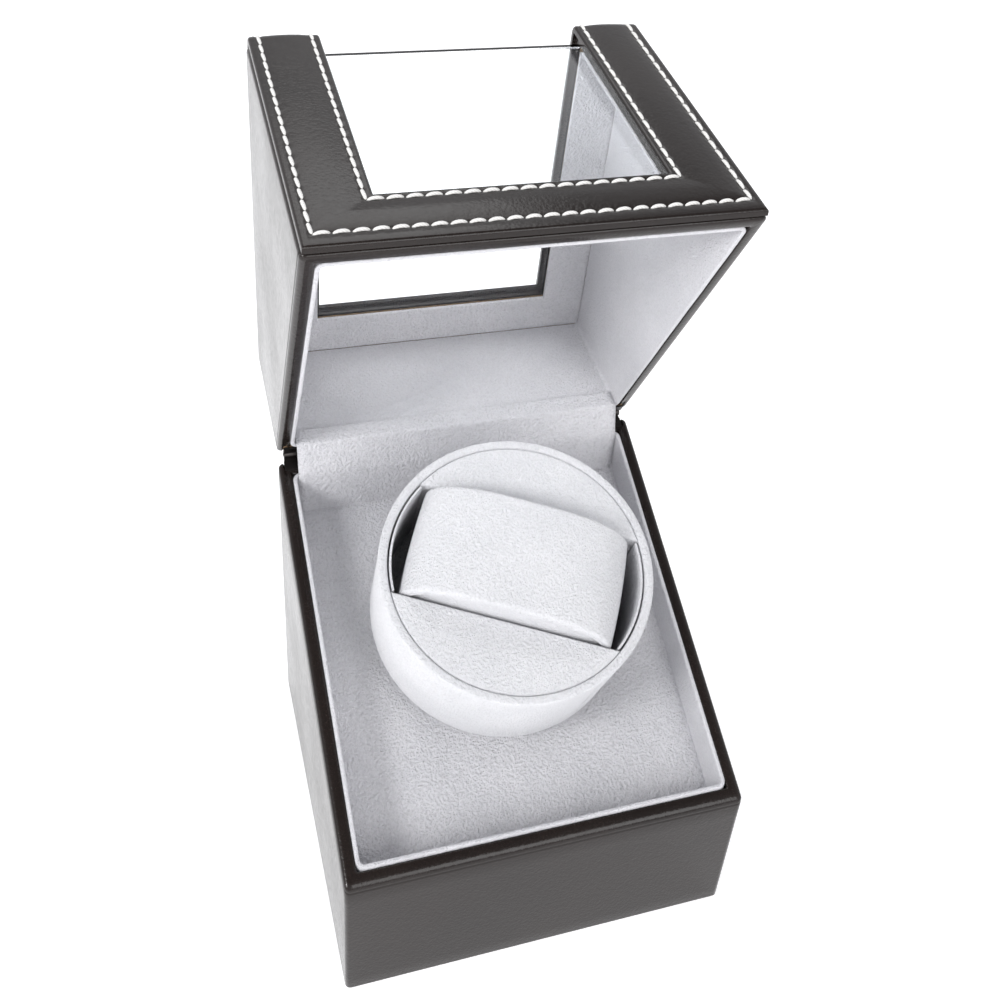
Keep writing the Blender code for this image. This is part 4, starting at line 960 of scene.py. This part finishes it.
def deck():
    """Suede-covered deck: rings that change from the bearing's hole to the deck's rectangle.

    A ring's points lie between a circle and the rectangle along rays from the drum's axis. The nap
    rises and falls slightly, and the deck is pulled down in a crease where it meets the liners.
    """
    gap, bearing_hole, crease_width, crease_depth = 0.3 * MM, 5.3 * MM, 1.1 * MM, 0.25 * MM
    inside = HALF_WIDTH - LINER_OUT - gap
    cos = math.cos(SLANT)
    front = (-HALF_DEPTH + LINER_OUT - DRUM_AT[1]) / cos
    back = (HALF_DEPTH - LINER_OUT - DRUM_AT[1]) / cos
    corners = np.array([(inside, front), (inside, back), (-inside, back), (-inside, front)])
    edge = np.concatenate([np.linspace(corners[k], corners[(k + 1) % 4], 57)[:-1] for k in range(4)])
    angle = np.arctan2(edge[:, 1], edge[:, 0])
    hole = bearing_hole * np.stack([np.cos(angle), np.sin(angle)], -1)
    share = 1 - (1 - np.linspace(0, 1, 60)) ** 2.0
    flat = (1 - share)[None, :, None] * hole[:, None] + share[None, :, None] * edge[:, None]
    x, y = flat[..., 0], flat[..., 1]
    to_side = inside - (LINER - gap) - np.abs(x)
    to_front = y - front - LINER / cos
    to_back = back - LINER / cos - y
    nearest = np.minimum(np.minimum(to_side, to_front), to_back)
    crease = np.exp(-(np.maximum(nearest, 0) / crease_width) ** 2)
    z = 0.10 * MM * wander(x, y) * (1 - crease) - crease_depth * crease
    return on_deck(np.stack([x, y, np.minimum(z, 0.12 * MM)], -1))


class WINDER_OT_liners(bpy.types.Operator):
    """Suede liners of the base and the lid, and the suede-covered deck"""
    bl_idname = "winder.liners"
    bl_label = "Suede liners and deck"

    def execute(self, context):
        edge = sizes().liner_edge
        base = surface("base_liner", base_liner(), closed_u=True)
        names = [f"base_{side}_liner" for side in ("front", "back", "left", "right")]
        wall = fit("base_liner", base, "base", "suede", "liner_suede", names)
        thicken(wall, LINER, edge)
        points, keep = lid_liner()
        lid = surface("lid_liner", on_lid(points), closed_u=True, keep=keep)
        names = [f"lid_{side}_liner" for side in ("front", "back", "left", "right")]
        wall = fit("lid_liner", lid, "lid", "suede", "liner_suede", names)
        thicken(wall, LINER, edge)
        points, keep = lid_ceiling()
        ceiling = surface("lid_ceiling_liner", on_lid(points), keep=keep)
        sheet = fit("lid_ceiling_liner", ceiling, "lid", "suede", replaced=["lid_top_liner"])
        thicken(sheet, LINER, edge)
        board = surface("suede_deck", deck(), closed_u=True)
        sheet = fit("suede_deck", board, "base", "suede", replaced=["deck_board"])
        thicken(sheet, DECK_THICK)
        return {"FINISHED"}


def strip_path():
    """The hinge strip's path from the base's back liner to the lid's, in Y and Z.

    Straight stretches up the base's liner from the deck, across the gap and along the open lid's
    liner, sampled closely and then averaged along the path, which rounds its two folds. Returns the
    path and its two folds.
    """
    back = HALF_DEPTH - LINER_IN
    off = 0.7 * MM
    low, high = 0.35 * MM, 0.75 * MM
    rim = split_z(back)

    def lid_point(inward, up):
        """Point off the lid's back liner, with the lid open."""
        return on_lid(np.array([0.0, back - inward, rim + up]))[1:]

    corners = [(back - off, split_z(back, 0.4 * MM - DECK_DROP)), (back - off, rim - low),
               tuple(lid_point(off, -high)), tuple(lid_point(off, 5.5 * MM))]
    runs = [np.linspace(a, b, max(8, round(math.dist(a, b) / (0.2 * MM))))[:-1]
            for a, b in zip(corners, corners[1:])]
    path = np.concatenate(runs + [np.array(corners[-1:])])
    for _ in range(5):
        path[1:-1] = (path[:-2] + path[1:-1] + path[2:]) / 3
    return path, corners[1:3]


class WINDER_OT_hinge_strip(bpy.types.Operator):
    """Suede strip that hides the hinge inside, shaped for the open lid"""
    bl_idname = "winder.hinge_strip"
    bl_label = "Suede hinge strip"

    def execute(self, context):
        path, folds = strip_path()
        half = HALF_WIDTH - LINER_IN - 0.6 * MM
        across = spaced(-half, half, 2.2 * MM)[:, None]
        points = np.stack([across + 0 * path[None, :, 0], path[None, :, 0] + 0 * across,
                           path[None, :, 1] + 0 * across], -1)
        middle = np.sin(np.linspace(0, math.pi, len(path)))[None, :] ** 2
        points[..., 2] += 0.12 * MM * middle * wander(points[..., 0], points[..., 2])
        strip = fit("suede_hinge_strip_cloth", surface("suede_hinge_strip_cloth", points), None,
                    "suede", replaced=["suede_hinge_strip"])
        thicken(strip, 0.7 * MM, offset=0.0)
        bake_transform(strip)
        return {"FINISHED"}


# Drum and pillow.

SEAM_AT = math.radians(-42)
SEAM_WIDTH = math.radians(0.65)
SEAM_DEPTH = 1.2 * MM
SKIRT_BULGE = 0.15 * MM


def drum_cup():
    """Drum shell: a profile turned about the drum's axis, with a seam down its side.

    The profile is a squarish arch for the padded ring, a leaning skirt, a small foot and a floor. The
    ring sinks and rises a little round its length, and the seam is a narrow groove at one angle.
    """
    inner, lean_in, foot = FACE_RADIUS + 0.3 * MM, 0.7 * MM, 1.2 * MM
    crown, squarish = (DRUM_RADIUS - inner) / 2, 0.55
    skirt, lower = DRUM_RADIUS - lean_in, DRUM_BOTTOM + foot
    angle = np.linspace(math.pi, 0, 15)
    profile = [(inner + crown + crown * math.copysign(abs(math.cos(a)) ** squarish, math.cos(a)),
                DRUM_FACE - crown + crown * max(math.sin(a), 0) ** squarish) for a in angle]
    high = profile[-1][1]
    for share in np.linspace(0, 1, 12)[1:]:
        lean = skirt + (DRUM_RADIUS - skirt) * (1 - share) ** 2
        profile.append((lean + SKIRT_BULGE * math.sin(math.pi * share), high + (lower - high) * share))
    cos, sin = quarter(4, -math.pi / 2)
    profile += [(skirt - foot + foot * c, lower + foot * s) for c, s in zip(cos[::-1], sin[::-1])][1:]
    floor, middle, bore = DRUM_BOTTOM + CUP_FLOOR, 20 * MM, 1.6 * MM
    profile += [(middle, DRUM_BOTTOM), (bore, DRUM_BOTTOM), (bore, floor), (middle, floor), (inner, floor)]
    profile += [(inner, floor + (profile[0][1] - floor) * share) for share in (0.3, 0.6, 0.9)]
    radius, height = (np.array(column)[None, :] for column in zip(*profile))
    beside = SEAM_AT + np.radians([-1.6, -1.0, -0.7, -0.35, 0, 0.35, 0.7, 1.0, 1.6])
    turn = np.union1d(np.linspace(-math.pi, math.pi, 181)[:-1], beside)[:, None]
    outside = (radius > skirt - 0.1 * MM) & (height > lower) & (height < DRUM_FACE - 2 * crown)
    groove = np.exp(-((turn - SEAM_AT) / SEAM_WIDTH) ** 2) * outside
    wave = 0.06 * MM * np.sin(turn * 5 + 1) + 0.05 * MM * np.sin(turn * 11)
    radius = radius - SEAM_DEPTH * groove + wave * outside
    height = height + wave * (height > DRUM_FACE - crown)
    return on_drum(np.stack([radius * np.cos(turn), radius * np.sin(turn), height + 0 * turn], -1))


def half_moon(side):
    """Padded half-moon face with its slot wall: a closed cross-section carried along the slot.

    For each stop along the slot, the cross-section runs from the ring's side over the top to the slot
    and down the slot wall. Across the top the height falls off in a quarter circle near both edges
    and is crowned between them.
    """
    reach, sunk, soft, wall = FACE_RADIUS + 0.22 * MM, 0.25 * MM, 0.6 * MM, 1.5 * MM
    padding, padding_reach = 0.55 * MM, 9 * MM
    bottom, under = CUP_WALL_FOOT, DRUM_FACE - 2.7 * MM
    along = np.sin(np.linspace(-1, 1, 91) * math.pi / 2)[:, None]
    across = (1 - np.cos(np.linspace(0, math.pi, 33)))[None, :] / 2
    end = math.sqrt(reach ** 2 - SLOT_HALF ** 2)
    x = along * (end + 0 * across)
    edge = np.sqrt(np.maximum(reach ** 2 - x ** 2, 0))
    y = edge + (SLOT_HALF - edge) * across
    near = np.minimum(np.hypot(x, y) * -1 + reach, y - SLOT_HALF)
    fall = 1 - np.sqrt(np.clip(1 - (1 - np.clip(near / soft, 0, 1)) ** 2, 0, 1))
    crown = padding * np.clip(near / padding_reach, 0, 1) ** 0.8
    ripple = 0.05 * MM * wander(x, y)
    top = np.stack([x, y, DRUM_FACE - sunk - soft * fall + crown + ripple * (1 - fall)], -1)

    def row(y_at, z_at):
        """Row of points along the slot at a distance from its middle."""
        line_y = np.minimum(y_at, np.maximum(edge[:, :1], SLOT_HALF)) + 0 * edge[:, :1]
        return np.stack([x[:, :1], line_y, z_at + 0 * edge[:, :1]], -1)

    rim = edge[:, :1]
    slot_rows = [row(SLOT_HALF, z) for z in np.linspace(DRUM_FACE - 2 * soft, bottom, 7)]
    rows = [row(rim, under), top, *slot_rows, row(SLOT_HALF + wall, bottom), row(SLOT_HALF + wall, under)]
    points = np.concatenate(rows, 1)
    points[..., 1] *= side
    return on_drum(points)


def slot_end(side):
    """Curved strip at one end of the slot: an arc of the cup's wall, from its floor to its face."""
    bend = math.asin((SLOT_HALF - 0.35 * MM) / FACE_RADIUS)
    angle = np.linspace(-bend, bend, 25)[:, None]
    height = np.linspace(DRUM_FACE - 0.45 * MM, CUP_WALL_FOOT, 14)[None, :]
    radius = FACE_RADIUS - 0.9 * MM + 0.08 * MM * np.sin(height / (4 * MM)) * np.cos(angle * 2)
    return on_drum(np.stack([side * radius * np.cos(angle), side * radius * np.sin(angle),
                             height + 0 * angle], -1))


class WINDER_OT_drum(bpy.types.Operator):
    """Suede drum: cup with its padded ring, half-moon faces and slot ends"""
    bl_idname = "winder.drum"
    bl_label = "Drum"

    def execute(self, context):
        cup = surface("drum_cup", drum_cup(), closed_u=True, closed_v=True, outward=True)
        fit("drum_cup", cup, "drum", "drum_suede", replaced=["drum_shell"])
        for name, side in (("upper_face", 1), ("lower_face", -1)):
            face = surface(f"{name}_pad", half_moon(side), closed_v=True, fill=True, outward=True)
            pad = fit(f"{name}_pad", face, "drum", "drum_suede", replaced=[f"{name}_panel"])
        for number, side in ((1, 1), (2, -1)):
            mesh = surface(f"slot_end_{number}", slot_end(side))
            strip = fit(f"slot_end_{number}", mesh, "drum", "drum_suede",
                        replaced=[f"slot_end_strip_{number}"])
            thicken(strip, 0.7 * MM, 0.3 * MM)
        return {"FINISHED"}


def pillow_outline(inset, count=121):
    """Outline of the pillow seen along the slot's width, set in by a distance.

    Its height over half its width is a flattened arch, one less the share to a power, whose root gives
    round shoulders. Below the shoulders it runs straight down into the drum.
    """
    half, low = PILLOW_HALF - inset, PILLOW_LOW
    end, top = DRUM_FACE - 3 * MM - inset / 2, DRUM_FACE + PILLOW_CROWN - inset
    turn = np.linspace(math.pi, 0, count)
    share = np.cos(turn)
    flatness, shoulder = 3.2, 1.7
    lift = (1 - np.abs(share) ** flatness) ** (1 / shoulder)
    arch = np.stack([half * share, end + (top - end) * lift], -1)
    leg = np.linspace(low, end, 12)[:-1]
    left = np.stack([-half + 0 * leg, leg], -1)
    right = np.stack([half + 0 * leg, leg[::-1]], -1)
    return np.concatenate([left, arch, right])


def pillow_band():
    """Padded band of the pillow: a soft-edged section carried over the arched outline.

    Across the slot the section is a rounded bar, crowned on its outer face, whose sides carry two
    grooves where the folded layers of cloth meet.
    """
    pad = sizes().pillow_pad
    half, soft, swell = SLOT_HALF - 0.5 * MM, 1.15 * MM, 0.55 * MM
    cos, sin = quarter(6)
    section = [(half - soft + soft * s, -soft + soft * c) for c, s in zip(cos, sin)]
    for depth, dent in ((1.35, 0), (1.5, 0.32), (1.65, 0), (2.1, 0), (2.22, 0.28), (2.34, 0)):
        section.append((half - dent * MM, -depth * MM))
    section += [(half - 0.2 * MM, -pad + 0.15 * MM), (half - 0.8 * MM, -pad)]
    side, sink = (np.array(column) for column in zip(*section))
    flat = np.linspace(-half + soft, half - soft, 25)[1:-1]
    bulge = swell * (1 - (flat / (half - soft)) ** 2)
    across = np.concatenate([flat, side, -side[::-1]])
    depth = np.concatenate([bulge, sink, sink[::-1]])
    outline = pillow_outline(swell)
    tangent = np.gradient(outline, axis=0)
    tangent /= np.linalg.norm(tangent, axis=1)[:, None]
    normal = np.stack([-tangent[:, 1], tangent[:, 0]], -1)
    x = outline[:, :1] + normal[:, :1] * depth[None, :]
    z = outline[:, 1:] + normal[:, 1:] * depth[None, :]
    return np.stack([x, across[None, :] + 0 * x, z], -1)


def pillow_sides():
    """Pillow's core with its cloth sides: panels under the band, pushed out a little by the stuffing."""
    pad = sizes().pillow_pad
    half = SLOT_HALF - 1.5 * MM
    outline = pillow_outline(pad - 0.1 * MM)
    base = np.stack([outline[:, 0], PILLOW_LOW + 0 * outline[:, 0]], -1)
    share = np.linspace(0, 1, 30)
    stuffing = 0.75 * MM
    bulge = stuffing * np.sin(math.pi * np.clip(share * 1.02, 0, 1)) ** 0.7
    panel = (1 - share)[None, :, None] * outline[:, None] + share[None, :, None] * base[:, None]
    fade = np.clip(1 - (np.abs(outline[:, 0]) / (PILLOW_HALF - pad)) ** 6, 0, 1)[:, None]
    front = np.stack([panel[..., 0], -half - bulge * fade, panel[..., 1]], -1)
    rear = front * np.array([1.0, -1.0, 1.0])
    return np.concatenate([front, rear[:, ::-1]], 1)


class WINDER_OT_pillow(bpy.types.Operator):
    """Padded watch pillow: band over a cloth-sided core"""
    bl_idname = "winder.pillow"
    bl_label = "Watch pillow"

    def execute(self, context):
        band = surface("pillow_band", on_drum(pillow_band()), closed_v=True, fill=True, outward=True)
        pad = fit("pillow_band", band, "pillow", "drum_suede", replaced=["watch_pillow"])
        core = surface("pillow_sides", on_drum(pillow_sides()), closed_v=True, fill=True, outward=True)
        sides = fit("pillow_sides", core, "pillow", "drum_suede", replaced=["pillow_core"])
        return {"FINISHED"}


# Hardware.

SLOT_OF = {part["node"]: part["material_slot"] for part in frame["record"]["subparts"]}
ROUND_PIECES = {"hinge_base_leaf": "base", "hinge_lid_leaf": "lid", "hinge_pin": "base", "dc_inlet": "base",
                "rear_plate": "base", "rear_plate_screw_1": "base", "rear_plate_screw_2": "base",
                "mode_switch_lever": "switch", "hub_screw": "drum", "drum_hub": "drum"}


def smoothed(node):
    """A welded copy of a CAD piece whose round faces are shaded smooth and flat ones flat."""
    source = frame["nodes"][node].data
    corners = np.empty(len(source.loops), int)
    source.loops.foreach_get("vertex_index", corners)
    return mesh_of(node, node_points(node), corners.reshape(-1, 3), sharp=35)


class WINDER_OT_hardware(bpy.types.Operator):
    """Hinge, rear plate, inlet, switch and screws, with their round faces made smooth"""
    bl_idname = "winder.hardware"
    bl_label = "Hardware"

    def execute(self, context):
        for node, body in ROUND_PIECES.items():
            material = "hinge_steel" if node.startswith("hinge_") else None
            fit(f"{node}_finished", smoothed(node), body, SLOT_OF[node], material, [node])
        return {"FINISHED"}


class WINDER_OT_finishes(bpy.types.Operator):
    """Finishes of the boards, panes, felt, drive and electrics that keep their CAD shape"""
    bl_idname = "winder.finishes"
    bl_label = "Finishes of the other pieces"

    def execute(self, context):
        for node, piece in frame["nodes"].items():
            piece.data.materials.clear()
            piece.data.materials.append(finish(SLOT_OF[node]))
        return {"FINISHED"}


# Studio.

def lamp(name, at, aim, size, power):
    """Square area lamp aimed at a point."""
    light = bpy.data.lights.new(name, "AREA")
    light.size = size
    light.energy = power
    made = bpy.data.objects.new(name, light)
    bpy.context.scene.collection.objects.link(made)
    made.location = at
    direction = np.array(aim) - np.array(at)
    yaw = math.atan2(direction[1], direction[0])
    pitch = math.atan2(-direction[2], math.hypot(direction[0], direction[1]))
    made.rotation_euler = (math.pi / 2 - pitch, 0, yaw - math.pi / 2)


class WINDER_OT_stage(bpy.types.Operator):
    """Camera, pale floor, pale surroundings and soft lamps"""
    bl_idname = "winder.stage"
    bl_label = "Studio"

    def execute(self, context):
        scene = context.scene
        camera = bpy.data.cameras.new("camera")
        camera.lens = 45.14
        camera.sensor_width = 36.0
        camera.shift_x, camera.shift_y = -0.0377, -0.1546
        camera.clip_start = 0.01
        view = bpy.data.objects.new("camera", camera)
        scene.collection.objects.link(view)
        view.location = (-0.09325, -0.25644, 0.36888)
        view.rotation_euler = [math.radians(angle) for angle in (55.577, -4.633, -17.361)]
        scene.camera = view

        reach = 3.0
        mesh = bpy.data.meshes.new("floor")
        mesh.from_pydata([(-reach, -reach, 0), (reach, -reach, 0), (reach, reach, 0), (-reach, reach, 0)],
                         [], [(0, 1, 2, 3)])
        floor = bpy.data.objects.new("floor", mesh)
        scene.collection.objects.link(floor)
        floor.location.z = -0.2 * MM
        mesh.materials.append(floor_finish())

        scene.world = studio_sky()
        scene.view_settings.view_transform = "Standard"

        middle = (0.0, 0.01, 0.09)
        lamp("key", (-0.85, -0.42, 0.60), middle, 0.3, 6.9)
        lamp("front", (0.25, -1.05, 0.65), middle, 0.7, 5.5)
        lamp("back", (-0.05, 0.55, 1.15), middle, 0.8, 4.6)
        return {"FINISHED"}


class WINDER_PT_build(bpy.types.Panel):
    """Sizes, colours and building steps in the sidebar"""
    bl_idname = "WINDER_PT_build"
    bl_label = "Watch winder box"
    bl_space_type = "VIEW_3D"
    bl_region_type = "UI"
    bl_category = "Winder"

    def draw(self, context):
        for settings in (context.scene.winder_sizes, context.scene.winder_colours):
            box = self.layout.box()
            for key in settings.__annotations__:
                box.prop(settings, key)
        for operator in OPERATORS:
            self.layout.operator(operator.bl_idname)


OPERATORS = (WINDER_OT_finishes, WINDER_OT_leather, WINDER_OT_trim, WINDER_OT_liners,
             WINDER_OT_hinge_strip, WINDER_OT_drum, WINDER_OT_pillow, WINDER_OT_hardware,
             WINDER_OT_stage)
CLASSES = (WinderSizes, WinderColours, *OPERATORS, WINDER_PT_build)


def register():
    """Register the classes and hang the settings on the scene."""
    for kind in CLASSES:
        bpy.utils.register_class(kind)
    bpy.types.Scene.winder_sizes = bpy.props.PointerProperty(type=WinderSizes)
    bpy.types.Scene.winder_colours = bpy.props.PointerProperty(type=WinderColours)


def unregister():
    """Take the settings and the classes away again."""
    del bpy.types.Scene.winder_colours
    del bpy.types.Scene.winder_sizes
    for kind in reversed(CLASSES):
        bpy.utils.unregister_class(kind)


def main():
    """Build everything in order."""
    register()
    for operator in OPERATORS:
        group, name = operator.bl_idname.split(".")
        getattr(getattr(bpy.ops, group), name)()


if __name__ == "__main__":
    main()
